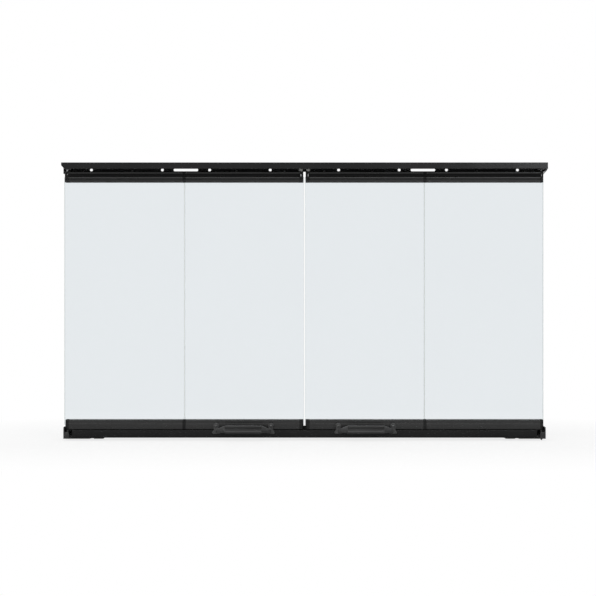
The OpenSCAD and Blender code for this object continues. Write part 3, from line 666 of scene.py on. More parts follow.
@dataclass(frozen=True)
class ClearGlass:
    """Tempered glass: clear faces with a faint furnace wave, and a ground, greener edge.

    Attributes:
        name: material name.
        tint: colour that one pane gives to what is seen through it.
        roughness: roughness.
        wave: depth of the furnace wave, in metres.
        haze: share of a dull, ground surface.
    """

    name: str
    tint: Colour
    roughness: float = 0.0
    wave: float = 0.0
    haze: float = 0.0

    def material(self) -> bpy.types.Material:
        """Builds the material.

        Returns:
            The finished material.
        """
        book = NodeBook(self.name)
        cloud = book.spread(book.noise(5.0, detail=2.0), 0.0, 1.0)
        rough = book.spread(book.noise(160.0, detail=4.0), self.roughness, self.roughness * 1.5)
        looks = {"Base Color": book.blend(cloud, toned(self.tint, 0.996), toned(self.tint, 1.004)),
                 "Transmission Weight": 1.0 - self.haze, "IOR": 1.5, "Roughness": rough}
        if self.wave:
            looks["Normal"] = book.bump(book.noise(9.0, detail=1.0, stretch=(0.2, 1.0, 1.0)), self.wave)
        return book.shaded(looks)


class Finish(Enum):
    """The finishes of the door set, each with the record's slot that it belongs to."""

    RAIL = "black_finish"
    # painted shade: a darker, duller copy of the rail's black for the groove between the ribs
    GROOVE = "black_finish", "groove"
    BAND = "black_finish", "band"
    CAP = "black_finish", "cap"
    TRACK = "black_finish", "track"
    # painted light: a paler black that lifts the shade on the tracks' inner faces
    TRACK_INSIDE = "black_finish", "inside of the tracks"
    BRACKET = "dark_steel"
    HINGE = "dark_steel", "hinge"
    CASTING = "handle_casting"
    GRIP = "handle_grip"
    SCREW = "bare_steel", "screw"
    DARK_SCREW = "bare_steel", "blackened screw"
    STUD = "bare_steel", "stud"
    STEEL = "bare_steel"
    NYLON = "nylon"
    BLACK_NYLON = "nylon", "black"
    CATCH = "catch_plastic"
    GASKET = "gasket_rubber"
    GLASS = "glass"
    GLASS_EDGE = "glass", "edge"

    @property
    def slot(self) -> str:
        """The record's material slot."""
        return self.value if isinstance(self.value, str) else self.value[0]


EVEN = (1.0, 1.0, 1.0)
RECIPES = {
    Finish.RAIL: Enamel("rail_enamel", (0.0065, 0.0065, 0.0064), worn=grey(0.07), roughness=0.26,
                        specular=0.62, peel=0.000006, grain=2400.0, drawn=0.02),
    # painted shade: half the rail's colour and little reflection, standing in for the shade in the groove
    Finish.GROOVE: Enamel("groove_enamel", grey(0.0030), worn=grey(0.02), roughness=0.62,
                          specular=0.14, peel=0.00001, grain=1600.0, drawn=0.05),
    Finish.BAND: Enamel("band_enamel", (0.0065, 0.0065, 0.0064), worn=grey(0.03), roughness=0.46,
                        specular=0.34, peel=0.00001, grain=1600.0, drawn=0.05),
    Finish.CAP: Enamel("cap_enamel", grey(0.0090), worn=grey(0.03), roughness=0.56,
                       specular=0.20, peel=0.00001, grain=1500.0),
    Finish.TRACK: Enamel("track_enamel", (0.0058, 0.0058, 0.0060), worn=grey(0.05), roughness=0.22,
                         specular=0.29, peel=0.00001, grain=1100.0),
    # painted light: several times paler than the outside black, to brighten the shaded inside of the tracks
    Finish.TRACK_INSIDE: Enamel("track_inside_painted_light", grey(0.026), worn=grey(0.05), roughness=0.60,
                                specular=0.30, peel=0.00002, grain=900.0),
    Finish.BRACKET: Enamel("bracket_enamel", grey(0.016), worn=grey(0.16), roughness=0.38,
                           specular=0.45, peel=0.00001, grain=1300.0, edge=0.0005, wear=0.5),
    Finish.HINGE: Enamel("hinge_enamel", (0.014, 0.014, 0.015), worn=grey(0.22), roughness=0.36,
                         specular=0.45, peel=0.00001, grain=1500.0, edge=0.0003, wear=0.6),
    Finish.CASTING: Enamel("casting_enamel", grey(0.027), worn=grey(0.12), roughness=0.36,
                           specular=0.50, peel=0.00004, grain=900.0, edge=0.0004, wear=0.4),
    Finish.GRIP: Enamel("grip_enamel", grey(0.018), worn=grey(0.09), roughness=0.38,
                        specular=0.40, peel=0.000008, grain=1800.0, drawn=0.05),
    Finish.SCREW: Steel("screw_steel", (0.62, 0.63, 0.62), stain=(0.45, 0.46, 0.44), roughness=0.42,
                        stretch=EVEN),
    Finish.DARK_SCREW: Steel("blackened_screw", grey(0.17), stain=grey(0.12), roughness=0.45, stretch=EVEN),
    Finish.STEEL: Steel("plated_steel", (0.48, 0.49, 0.50), stain=grey(0.34), roughness=0.30),
    Finish.STUD: Steel("blackened_steel", grey(0.09), stain=grey(0.05), roughness=0.34),
    Finish.NYLON: Moulded("natural_nylon", (0.30, 0.30, 0.285), roughness=0.48, grain=0.00001, glow=0.08),
    Finish.BLACK_NYLON: Moulded("black_nylon", grey(0.012), roughness=0.5, grain=0.00001),
    Finish.CATCH: Moulded("catch_plastic", (0.018, 0.018, 0.019), roughness=0.55, grain=0.00003),
    Finish.GASKET: Moulded("silicone", grey(0.012), roughness=0.75, grain=0.00002, specular=0.25),
    Finish.GLASS: ClearGlass("clear_glass", (0.802, 0.838, 0.861), wave=0.000004),
    Finish.GLASS_EDGE: ClearGlass("ground_glass_edge", (0.46, 0.55, 0.52), roughness=0.25, haze=0.15),
}
MATERIALS = {finish: recipe.material() for finish, recipe in RECIPES.items()}


def mesh_of(name: str, shell: Shell) -> bpy.types.Mesh:
    """Writes a shell into a mesh, in metres and with its faces outwards.

    Args:
        name: the mesh's name.
        shell: the skins, in millimetres.

    Returns:
        The new mesh.
    """
    whole = shell.outward()
    mesh = bpy.data.meshes.new(name)
    faces = [*whole.quads.tolist(), *(plate.tolist() for plate in whole.plates)]
    mesh.from_pydata((whole.points * MM).tolist(), [], faces)
    mesh.validate()
    return mesh


def settle(piece: bpy.types.Object) -> None:
    """Puts the result of a piece's modifiers in place of its mesh.

    Args:
        piece: the object; its mesh is replaced.
    """
    bpy.context.view_layer.update()
    result = bpy.data.meshes.new_from_object(piece.evaluated_get(bpy.context.evaluated_depsgraph_get()))
    piece.modifiers.clear()
    old = piece.data
    piece.data = result
    bpy.data.meshes.remove(old)


def cut_away(piece: bpy.types.Object, cutters: Shell) -> None:
    """Joins a piece's overlapping skins into one and cuts holes into it.

    Args:
        piece: the object; its mesh is replaced.
        cutters: the skins of what is cut away.
    """
    tool = bpy.data.objects.new("cutter", mesh_of("cutter", cutters))
    bpy.context.scene.collection.objects.link(tool)
    cut = piece.modifiers.new("cut", "BOOLEAN")
    cut.operation, cut.solver, cut.use_self, cut.object = "DIFFERENCE", "EXACT", True, tool
    settle(piece)
    mesh = tool.data
    bpy.data.objects.remove(tool)
    bpy.data.meshes.remove(mesh)


def add_piece(name: str, shell: Shell, body: str, finish: Finish, stands_for: Sequence[str] = (),
              crease: float = 32.0, cutters: Sequence[Shell] = ()) -> bpy.types.Object:
    """Makes one piece of the object and puts it on its body.

    Args:
        name: the piece's name.
        shell: its skins, in millimetres, in the model's frame.
        body: the CAD body that carries it.
        finish: its finish.
        stands_for: CAD nodes that it replaces.
        crease: angle in degrees above which an edge stays sharp.
        cutters: skins of what is cut away.

    Returns:
        The new object.
    """
    piece = bpy.data.objects.new(name, mesh_of(name, shell))
    bpy.context.scene.collection.objects.link(piece)
    if cutters:
        cut_away(piece, joined(cutters))
    mesh = piece.data
    mesh.polygons.foreach_set("use_smooth", np.ones(len(mesh.polygons), bool))
    mesh.set_sharp_from_angle(angle=math.radians(crease))
    mesh.materials.clear()
    mesh.materials.append(MATERIALS[finish])
    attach(piece, body)
    if stands_for:
        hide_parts(*stands_for)
    LOG.info("%s: %d faces on %s", name, len(mesh.polygons), body)
    return piece


def face_centres(piece: bpy.types.Object) -> np.ndarray:
    """The middles of a piece's faces, (n, 3), in millimetres."""
    centres = np.empty(3 * len(piece.data.polygons))
    piece.data.polygons.foreach_get("center", centres)
    return centres.reshape(-1, 3) / MM


def repaint(piece: bpy.types.Object, finish: Finish, chosen: np.ndarray) -> None:
    """Gives the chosen faces of a piece a second finish.

    Args:
        piece: the object.
        finish: the second finish.
        chosen: (n,) truth values, one a face.
    """
    index = np.zeros(len(piece.data.polygons), np.int32)
    piece.data.polygons.foreach_get("material_index", index)
    index[chosen] = len(piece.data.materials)
    piece.data.materials.append(MATERIALS[finish])
    piece.data.polygons.foreach_set("material_index", index)


def dress(node: str, finish: Finish) -> None:
    """Gives a CAD node its finish.

    Args:
        node: the node's name.
        finish: its finish.
    """
    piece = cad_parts[node]
    piece.data.materials.clear()
    piece.data.materials.append(MATERIALS[finish])
    LOG.info("%s: dressed as %s", node, finish.name.lower())


# ----------------------------------------
# The door set
# ----------------------------------------


class Side(Enum):
    """The two halves of the door set, as seen from the room."""

    LEFT = -1
    RIGHT = 1

    @property
    def word(self) -> str:
        """The name used in the pieces' names."""
        return self.name.lower()


def add_frame_piece(side: Side, word: str, shell: Shell, finish: Finish, node: str,
                    cutters: Sequence[Shell] = ()) -> None:
    """Makes a fixed piece of one side.

    Args:
        side: its side.
        word: its name without the side.
        shell: its skins, as on the right side.
        finish: its finish.
        node: the CAD node that it replaces, without the side.
        cutters: skins of what is cut away, as on the right side.
    """
    add_piece(f"{side.word}_{word}", shell.mirrored(side.value), "frame", finish, [f"{side.word}_{node}"],
              cutters=[cutter.mirrored(side.value) for cutter in cutters])


@dataclass(frozen=True)
class Layout:
    """The sizes that several pieces share, as in the part's source, in millimetres.

    The last five are the visual model's own: how far caps and panes reach past the rails' ends.
    """

    rail_l: float = 223.4
    lead_x: float = 3.3
    fold_gap: float = 2.0
    cap_l: float = 6.2
    fold_cap_t: float = 2.0
    door_z: float = 14.4
    sill_rail_top: float = 33.2
    head_rail_z: float = 482.7
    door_top: float = 503.3
    rail_front: float = 12.0
    rail_back: float = 6.0
    slot_half: float = 3.7
    slot_d: float = 12.0
    pin_x: float = 3.6
    pin_y: float = -8.0
    pivot_x: float = 448.5
    hinge_z: Span = (15.4, 484.6)
    hinge_h: float = 16.8
    leaf_l: float = 24.0
    leaf_t: float = 1.4
    leaf_off: float = 0.9
    strike_x: float = 68.7
    strike_half: float = 16.0
    strike_t: float = 1.2
    handle_pitch: float = 103.0
    handle_z: float = 22.8
    handle_front: float = -24.5
    inner_reach: float = 1.1
    left_reach: float = 1.5
    left_low_reach: float = 0.4
    pane_reach: float = 1.1
    left_pane_reach: float = 1.9

    @property
    def door_end_x(self) -> float:
        """Outer end of an outer door."""
        return self.lead_x + 2 * self.rail_l + self.fold_gap

    @property
    def middle(self) -> float:
        """Middle of a door along its own length."""
        return self.rail_l / 2

    @property
    def fold_x(self) -> float:
        """The fold hinge's axis along a door's own length."""
        return self.rail_l + self.fold_gap / 2


@dataclass(frozen=True)
class Door:
    """One door's place: its side, and whether it is the inner, leading one."""

    side: Side
    inner: bool
    layout: Layout = Layout()

    @property
    def word(self) -> str:
        """Start of the names of this door's pieces."""
        return f"{self.side.word}_{'inner' if self.inner else 'outer'}"

    @property
    def body(self) -> str:
        """The CAD body that carries this door."""
        return f"{self.word}_door"

    @property
    def left_outer(self) -> bool:
        """Whether this is the left outer door, whose free end stands further out."""
        return self.side is Side.LEFT and not self.inner

    @property
    def free_end(self) -> float:
        """Where the free end is, in the door's own frame."""
        if self.inner:
            return -self.layout.inner_reach
        return -self.layout.left_reach if self.left_outer else 0.0

    @property
    def low_end(self) -> float:
        """Where the bottom rail's free end is: the left outer door's stops short of the bracket."""
        return -self.layout.left_low_reach if self.left_outer else self.free_end

    @property
    def pane_end(self) -> float:
        """Where the pane's free end is."""
        return self.free_end - (self.layout.left_pane_reach if self.left_outer else self.layout.pane_reach)

    def place(self, points: np.ndarray) -> np.ndarray:
        """Takes points from the door's own frame, where x runs from the free end to the fold.

        An inner door's free end is near the middle and an outer door's is at the track's end, so
        x goes to side * (lead_x + x) or to side * (door_end_x - x).

        Args:
            points: (n, 3) points in the door's own frame.

        Returns:
            The points in the model's frame.
        """
        out = np.array(points, float)
        x = self.layout.lead_x + out[:, 0] if self.inner else self.layout.door_end_x - out[:, 0]
        out[:, 0] = self.side.value * x
        return out

    def add(self, name: str, shell: Shell, finish: Finish, node: str, crease: float = 32.0,
            cutters: Sequence[Shell] = ()) -> bpy.types.Object:
        """Makes a piece of this door.

        Args:
            name: the piece's name.
            shell: its skins, in the door's own frame.
            finish: its finish.
            node: the CAD node that it replaces.
            crease: angle in degrees above which an edge stays sharp.
            cutters: skins of what is cut away, in the door's own frame.

        Returns:
            The new object.
        """
        return add_piece(name, shell.mapped(self.place), self.body, finish, [node], crease,
                         [cutter.mapped(self.place) for cutter in cutters])


@dataclass
class DoorRails:
    """The extruded rails above and below a pane, between their end caps."""

    door: Door
    rib_r: float = 2.6
    rib_pitch: float = 9.7
    groove_y: float = 9.8
    band_y: float = 11.2
    band_h: float = 5.0
    nose_up: float = 5.4
    brow_r: float = 60.0
    toe_r: float = 1.0
    face_y: float = 11.0
    face_h: float = 6.6
    edge_c: float = 0.9
    small_r: float = 0.3
    end_r: float = 0.12
    cap_r: float = 0.15
    corner_r: float = 3.5
    bore_r: float = 1.85
    fold_reach: float = 0.8
    half_up: float = 250.0
    well_above: float = 550.0
    crease: float = 24.0

    def closed(self, front: np.ndarray, z: np.ndarray, rest: Sequence[Span]) -> np.ndarray:
        """Closes a front curve to an outline.

        Args:
            front: (n,) distances of the curve towards the room.
            z: (n,) its heights.
            rest: the other corners in order, which get small fillets.

        Returns:
            (m, 2) points (y, z) round the outline.
        """
        corners = np.array([(-front[-1], z[-1]), *rest])
        return np.concatenate([np.stack([-front, z], -1)[1:-1], fillet(corners, self.small_r)])

    def top_outline(self) -> np.ndarray:
        """Outline of the top rail as (y, z).

        The front at height z is the smooth maximum of the groove's face, the plain band and two
        ribs, each rib being mid + sqrt(r^2 - (z - centre)^2). The heights follow each rib's turn,
        so that its curve is evenly drawn. The rest is a chain of corners with small fillets.

        Returns:
            (n, 2) points round the outline.
        """
        size, merge = self.door.layout, 0.12
        low, high = size.head_rail_z, size.door_top
        rib_y = size.rail_front - self.rib_r
        turn = np.linspace(-np.pi / 2, np.pi / 2, 19)
        centres = high - self.rib_r - self.rib_pitch * np.arange(2)
        below = np.linspace(low + 0.8, low + self.band_h + 1.2, 15)
        z = np.concatenate([c + self.rib_r * np.sin(turn) for c in centres] + [below])
        z = np.unique(np.round(z, 4))[::-1]
        ribs = [rib_y + np.sqrt(np.maximum(self.rib_r**2 - (z - c) ** 2, 0)) for c in centres]
        ribs = [np.where(np.abs(z - c) <= self.rib_r + 1e-6, rib, 0.0) for rib, c in zip(ribs, centres)]
        band = np.where(z <= low + self.band_h, self.band_y, self.groove_y)
        front = smooth_max(np.maximum(*ribs), band, merge)
        front = np.where(z > centres[0], np.maximum(ribs[0], rib_y), front)
        front = np.minimum(front, size.rail_front)
        half, back, deep = size.slot_half, size.rail_back, size.slot_d
        return self.closed(front, z, [
            (-self.band_y, low), (-half, low), (-half, low + deep), (half, low + deep), (half, low),
            (back, low), (back, high), (-rib_y, high)])

    def bottom_outline(self) -> np.ndarray:
        """Outline of the bottom rail as (y, z).

        The front is furthest out at a height of nose_up above the lower edge. Above that it falls
        back on a large circle, brow_r, and steps back to the flat face, face_h high, which ends in
        a 45 degree chamfer. At the lower edge it turns under on a small circle, toe_r. The faces
        are joined with a smooth maximum.

        Returns:
            (n, 2) points round the outline.
        """
        size, merge, step = self.door.layout, 0.15, 6.0
        low, high = size.door_z, size.sill_rail_top
        centre = low + self.nose_up
        turn = np.linspace(-np.pi / 2, 0, 13)
        above = np.linspace(low + self.toe_r, high - 0.4, 30)
        z = np.concatenate([low + self.toe_r * (1 + np.sin(turn)), above])
        z = np.unique(np.round(z, 4))
        nose = size.rail_front - self.brow_r + np.sqrt(self.brow_r**2 - np.maximum(z - centre, 0) ** 2)
        toe = np.sqrt(np.maximum(self.toe_r**2 - np.minimum(z - low - self.toe_r, 0) ** 2, 0))
        nose = nose - (self.toe_r - toe)
        face = np.where(z > centre, self.face_y - np.maximum(0, z - (high - self.edge_c)), 0)
        brow = smooth_max(nose - step * (z > high - self.face_h), face, merge)
        front = np.minimum(np.where(z > centre, brow, nose), size.rail_front)
        half, back, deep = size.slot_half, size.rail_back, size.slot_d
        return self.closed(front, z, [
            (self.edge_c - self.face_y, high), (-half, high), (-half, high - deep), (half, high - deep),
            (half, high), (back, high), (back, low), (self.toe_r - size.rail_front, low)])

    def corner_cuts(self) -> list[Shell]:
        """What rounds the front corner of the free caps.

        Returns:
            Two cutters, one for each rail, because their free ends lie apart.
        """
        size, r = self.door.layout, self.corner_r
        turn = np.linspace(-np.pi / 2, -np.pi, 9)
        arc = np.stack([r + r * np.cos(turn), r - size.rail_front + r * np.sin(turn)], -1)
        front = -size.rail_front - 1
        corner = np.concatenate([[(-1, front), (r, front)], arc, [(-1, r - size.rail_front)]])
        spans = ((self.half_up, self.well_above, self.door.free_end), (0, self.half_up, self.door.low_end))
        return [slab(corner, low, high, 0, Plane.XY_ALONG_Z).moved(end) for low, high, end in spans]

    def bores(self) -> list[Shell]:
        """The pin bores of the free caps."""
        size = self.door.layout
        spans = [(491.2, 504.0)] if self.door.inner else [(484.2, 504.0), (13.9, 23.5)]
        return [plug(size.pin_x, size.pin_y, self.bore_r, *span, Plane.XY_ALONG_Z) for span in spans]

    def in_groove(self, piece: bpy.types.Object) -> np.ndarray:
        """Tells which faces of a piece lie in the groove between the two ribs, where shade is painted."""
        y, z = face_centres(piece)[:, 1:].T
        middle = self.door.layout.door_top - self.rib_r - self.rib_pitch / 2
        return (np.abs(z - middle) < self.rib_pitch / 2 - self.rib_r + 0.35) & self.at_front(y)

    def at_front(self, y: np.ndarray) -> np.ndarray:
        """Tells which places lie well in front of the glass slot."""
        return y < -self.door.layout.slot_half - 2

    def build_caps(self) -> None:
        """Makes the four end caps; those at the free end have a round front corner."""
        size, door = self.door.layout, self.door
        fold = (size.rail_l - size.fold_cap_t, size.rail_l + self.fold_reach)
        rails = ((self.top_outline(), door.free_end), (self.bottom_outline(), door.low_end))
        caps = [slab(outline, *span, self.cap_r, Plane.YZ_ALONG_X)
                for outline, end in rails for span in ((end, size.cap_l), fold)]
        piece = door.add(f"{door.word}_cap_set", joined(caps), Finish.CAP, f"{door.word}_end_caps",
                         self.crease, [*self.corner_cuts(), *self.bores()])
        # painted shade on the caps' faces in the groove
        repaint(piece, Finish.GROOVE, self.in_groove(piece))

    def build(self) -> None:
        """Makes both rails and their end caps."""
        size, door = self.door.layout, self.door
        for word, outline in (("top", self.top_outline()), ("bottom", self.bottom_outline())):
            shell = slab(outline, size.cap_l, size.rail_l - size.fold_cap_t, self.end_r, Plane.YZ_ALONG_X)
            rail = f"{door.word}_{word}_rail"
            piece = door.add(f"{rail}_skin", shell, Finish.RAIL, rail, self.crease)
            if word == "top":
                y, z = face_centres(piece)[:, 1:].T
                # painted shade on the rail's faces in the groove
                repaint(piece, Finish.GROOVE, self.in_groove(piece))
                repaint(piece, Finish.BAND, (z < size.head_rail_z + self.band_h + 0.3) & self.at_front(y))
        self.build_caps()


@dataclass
class DoorPane:
    """A tempered pane with rounded corners and ground edges."""

    door: Door
    thickness: float = 4.8
    fold_reach: float = 0.6
    low: float = 22.5
    high: float = 493.4
    corner: float = 1.5
    arris: float = 0.45

    def build(self) -> None:
        """Makes the pane; its faces are clear and its rim is ground."""
        door, half = self.door, self.thickness / 2
        along = (door.pane_end, door.layout.rail_l + self.fold_reach)
        outline = panel(along, (self.low, self.high), self.corner)
        pane = door.add(f"{door.word}_pane", slab(outline, -half, half, self.arris, Plane.XZ_ALONG_Y, 2),
                        Finish.GLASS, f"{door.word}_glass", crease=20.0)
        sides = np.array([polygon.loop_total for polygon in pane.data.polygons])
        repaint(pane, Finish.GLASS_EDGE, sides == 4)


class Facing(Enum):
    """Which way a screw's head looks."""

    TOP = "top"
    BACK = "back"
    FRONT = "front"


@dataclass(frozen=True)
class Screw:
    """A cross-recess screw with its seat at a place."""

    at: Triple
    facing: Facing
    depth: float
    sunk: bool = False
    shank_r: float = 1.4
    head_r: float = 2.6
    head_t: float = 1.9
    sunk_t: float = 1.0
    bar_half: float = 0.33
    wall: float = 0.15
    play: float = 0.05

    def shell(self) -> Shell:
        """The screw's skin.

        The head's top at radius r and turn t is a crown, head_t * sqrt(1 - (r / R)^3) on a raised
        head or flat on a sunk one, less a cross: two bars, bar_half to each side of the axes, whose
        floor lies 0.9 mm down (0.6 mm on a sunk head) and slopes up over twice the wall's width.

        Returns:
            The skin in the frame of what carries the screw.
        """
        turn = np.linspace(0, 2 * np.pi, 40, endpoint=False)
        r = self.head_r * np.linspace(0.04, 1.0, 15)[:, None]
        x, y = r * np.cos(turn), r * np.sin(turn)
        crown = np.zeros_like(r) if self.sunk else self.head_t * np.sqrt(1 - (r / self.head_r) ** 3)
        reach = 0.55 * self.head_r
        bar_a = np.maximum(np.abs(x) - reach, np.abs(y) - self.bar_half)
        bar_b = np.maximum(np.abs(y) - reach, np.abs(x) - self.bar_half)
        floor = 0.6 * self.sunk_t if self.sunk else 0.9
        top = crown - floor * smooth_step(0.5 - np.minimum(bar_a, bar_b) / self.wall)
        start, tip = -self.sunk_t if self.sunk else 0.0, 0.3
        rims = np.array([(self.shank_r, start), (self.shank_r, tip - self.depth),
                         (self.shank_r - tip, -self.depth)])
        heights = np.broadcast_to(rims[:, 1:], (len(rims), len(turn)))
        low = np.stack([rims[:, :1] * np.cos(turn), rims[:, :1] * np.sin(turn), heights], -1)
        return self.placed(Shell.from_rings(np.concatenate([np.stack([x, y, top], -1), low])).outward())

    def room(self) -> Shell:
        """The room that the shank and a sunk head need, for cutting."""
        r, head = self.shank_r + self.play, self.head_r + self.play
        profile = [(r, -self.depth - 0.5), (r, -self.sunk_t), (head, 0.0), (head, 0.6)]
        return self.placed(turned(np.array(profile), 40))

    def placed(self, shell: Shell) -> Shell:
        """Turns an upright skin the screw's way and carries it to the screw's place."""
        turns = {Facing.TOP: lambda p: p,
                 Facing.BACK: lambda p: np.stack([p[:, 0], p[:, 2], -p[:, 1]], -1),
                 Facing.FRONT: lambda p: np.stack([p[:, 0], -p[:, 2], p[:, 1]], -1)}
        return shell.mapped(turns[self.facing]).moved(*self.at)


@dataclass
class DoorScrews:
    """All screws of one door: hinges, glass clamps, and on an inner door the handle and strike."""

    door: Door
    clamp_in: float = 34.3
    clamp_pitch: float = 91.3
    clamp_y: float = -7.25
    clamp_down: float = 6.0
    strike_z: float = 25.2
    hinge_depth: float = 3.5
    strike_depth: float = 3.3
    top_depth: float = 6.0
    back_depth: float = 2.1
    handle_depth: float = 16.5

    def hinge_screws(self) -> list[Screw]:
        """Places the sunk screws of the hinge leaves.

        Returns:
            Two screws for each leaf.
        """
        size = self.door.layout
        leaf_end = size.fold_x - size.leaf_off
        return [Screw((leaf_end - size.leaf_l * along, size.rail_back + size.leaf_t, z + size.hinge_h * up),
                      Facing.BACK, self.hinge_depth, sunk=True)
                for z in size.hinge_z for along, up in ((0.36, 0.3), (0.8, 0.7))]

    def strike_screws(self) -> list[Screw]:
        """The sunk screws of the strike plate."""
        size, share = self.door.layout, 0.36
        seat = size.rail_back + size.strike_t
        return [Screw((size.strike_x + k * 2 * size.strike_half * share, seat, self.strike_z), Facing.BACK,
                      self.strike_depth, sunk=True) for k in (-1, 1)]

    def clamp_screws(self) -> list[Screw]:
        """Places the raised screws that clamp the glass.

        Returns:
            Two screws on top of the top rail and two behind the bottom one.
        """
        size = self.door.layout
        along = [self.clamp_in + k * self.clamp_pitch for k in (0, 1)]
        low_z = size.sill_rail_top - self.clamp_down
        return ([Screw((x, self.clamp_y, size.door_top), Facing.TOP, self.top_depth) for x in along]
                + [Screw((x, size.rail_back, low_z), Facing.BACK, self.back_depth) for x in along])

    def handle_screws(self) -> list[Screw]:
        """The raised screws in the handle's bosses."""
        size = self.door.layout
        return [Screw((size.middle + k * size.handle_pitch / 2, size.handle_front, size.handle_z),
                      Facing.FRONT, self.handle_depth) for k in (-1, 1)]

    def build(self) -> None:
        """Makes the plated screws as one piece, and an inner door's blackened handle screws as another."""
        plated = self.hinge_screws() + self.clamp_screws()
        groups = [("screw_set", plated, Finish.SCREW)]
        if self.door.inner:
            plated += self.strike_screws()
            groups.append(("handle_screws", self.handle_screws(), Finish.DARK_SCREW))
        for word, screws, finish in groups:
            self.door.add(f"{self.door.word}_{word}", joined(screw.shell() for screw in screws), finish,
                          f"{self.door.word}_screws", crease=40.0)


@dataclass
class Handle:
    """The bar handle of a leading door: two cast end brackets and a grip."""

    side: Side
    layout: Layout = Layout()
    boss_r: float = 5.2
    boss_back: float = -11.0
    plate_t: float = 3.5
    foot_w: float = 14.4
    foot_z: Span = (7.4, 12.2)
    grip_l: float = 69.0
    grip_y: float = -38.8
    grip_z: float = 17.4
    grip_r: float = 3.2
    grip_pitch: float = 9.6
    web_t: float = 4.2
    arm_z: float = 13.9
    arm_h: float = 4.4
    arm_over: float = 1.9
    arm_w: Span = (2.9, 2.4)
    arm_power: float = 2.6
    skin_cell: float = 0.00036
    skin_passes: int = 5

    @property
    def middle(self) -> float:
        """The handle's middle along X."""
        return self.side.value * (self.layout.lead_x + self.layout.middle)

    def boss(self) -> Shell:
        """The round boss: a turned profile with a rounded rim.

        Returns:
            The skin, lying along Y about x = 0.
        """
        r, length = self.boss_r, self.boss_back - self.layout.handle_front
        profile = np.array([[r * 0.98, 0.0], [r * 0.94, 1.5], [r * 0.94, length - 3.0], [r, length - 2.2],
                            [r, length - 0.9], [r - 0.26, length - 0.26], [r - 0.9, length], [3.0, length],
                            [2.7, length - 0.05]])
        upright = turned(profile, 40)
        lying = upright.mapped(lambda p: np.stack([p[:, 0], self.boss_back - p[:, 2], p[:, 1]], -1))
        return lying.moved(z=self.layout.handle_z)

    def plate(self) -> Shell:
        """The plate from the boss down to the foot.

        Returns:
            A slab whose outline narrows at its waist.
        """
        low, high = self.foot_z
        half, r, z, front = self.foot_w / 2, self.boss_r, self.layout.handle_z, self.layout.handle_front
        turn = np.linspace(-0.12 * np.pi, 1.12 * np.pi, 25)
        cap = np.stack([r * np.cos(turn), z + r * np.sin(turn)], -1)
        chain = np.array([cap[-1], [-r * 0.86, high + 2.6], [-half, high - 0.6], [-half, low], [0.0, low]])
        left = fillet(chain, np.array([2.2, 1.4, 1.2]), 5)
        right = left[1:-1][::-1] * np.array([-1.0, 1.0])
        outline = np.concatenate([cap, left[1:-1], right])
        return slab(outline, front, front + self.plate_t, 1.0, Plane.XZ_ALONG_Y, 4)

    def arm(self) -> Shell:
        """The arm that leans in from the plate to the grip's end.

        On the way from the plate to the grip, its centre goes across as t^1.15, out as t^0.9 and up
        as an eased step. Its section is a superellipse, |u|^n + |v|^n = 1 with n = arm_power, whose
        half height grows and whose half width shrinks along the way.

        Returns:
            The skin, in the frame of a bracket whose boss is at x = 0.
        """
        t = np.linspace(0, 1, 24)[:, None]
        ease = smooth_step(t)
        start = np.array([-1.5, self.layout.handle_front + 2.0, self.arm_z])
        end = np.array([-(self.layout.handle_pitch - self.grip_l) / 2 - 1.5, self.grip_y, self.grip_z])
        centre = start + (end - start) * np.concatenate([t**1.15, t**0.9, ease], 1)
        direction = np.gradient(centre, axis=0)
        direction[:, 2] = 0
        direction /= np.linalg.norm(direction, axis=1, keepdims=True)
        across = np.stack([-direction[:, 1], direction[:, 0], np.zeros(len(t))], -1)
        tall = self.arm_h + (self.grip_pitch / 2 + self.arm_over - self.arm_h) * ease
        wide = self.arm_w[0] + (self.arm_w[1] - self.arm_w[0]) * ease
        turn = np.linspace(0, 2 * np.pi, 36, endpoint=False)
        u, v = (np.sign(wave) * np.abs(wave) ** (2 / self.arm_power) for wave in (np.cos(turn), np.sin(turn)))
        up = np.array([0.0, 0.0, 1.0])
        return Shell.from_rings(centre[:, None] + across[:, None] * (wide * u)[..., None]
                                + up * (tall * v)[..., None])

    def casting(self) -> Shell:
        """One end bracket, with its boss at x = 0 and its arm towards -X."""
        return joined([self.boss(), self.plate(), self.arm()])

    def grip(self) -> Shell:
        """The grip: a bar with two round edges and a thinner web.

        At height v from its middle, the half thickness is the smooth maximum of the web's and
        sqrt(r^2 - (|v| - pitch / 2)^2). The bar's ends are rounded.

        Returns:
            The skin in the model's frame.
        """
        half_pitch, merge = self.grip_pitch / 2, 0.25
        v = (half_pitch + self.grip_r) * np.cos(np.linspace(0, np.pi, 41))
        edge = np.sqrt(np.maximum(self.grip_r**2 - (np.abs(v) - half_pitch) ** 2, 0))
        edge = np.where(np.abs(v) < half_pitch - self.grip_r, 0, edge)
        web = np.where(np.abs(v) < half_pitch, self.web_t / 2, 0)
        half = np.minimum(smooth_max(edge, web, merge), self.grip_r)
        half = np.where(np.abs(v) > half_pitch, edge, half)
        front, back = (np.stack([self.grip_y + k * half, self.grip_z + v], -1) for k in (-1, 1))
        start = self.middle - self.grip_l / 2
        return slab(np.concatenate([front, back[::-1][1:-1]]), start, start + self.grip_l, 0.8,
                    Plane.YZ_ALONG_X, 4)

    def build(self) -> None:
        """Makes the castings as one smooth skin each, and the grip."""
        word, body = self.side.word, f"{self.side.word}_inner_door"
        ends = joined(self.casting().mirrored(k).moved(self.middle + k * self.layout.handle_pitch / 2)
                      for k in (-1, 1))
        piece = add_piece(f"{word}_handle_castings", ends, body, Finish.CASTING, [f"{word}_handle_brackets"])
        fuse(piece, self.skin_cell, self.skin_passes)
        add_piece(f"{word}_handle_bar", self.grip(), body, Finish.GRIP, [f"{word}_handle_grip"], crease=40.0)


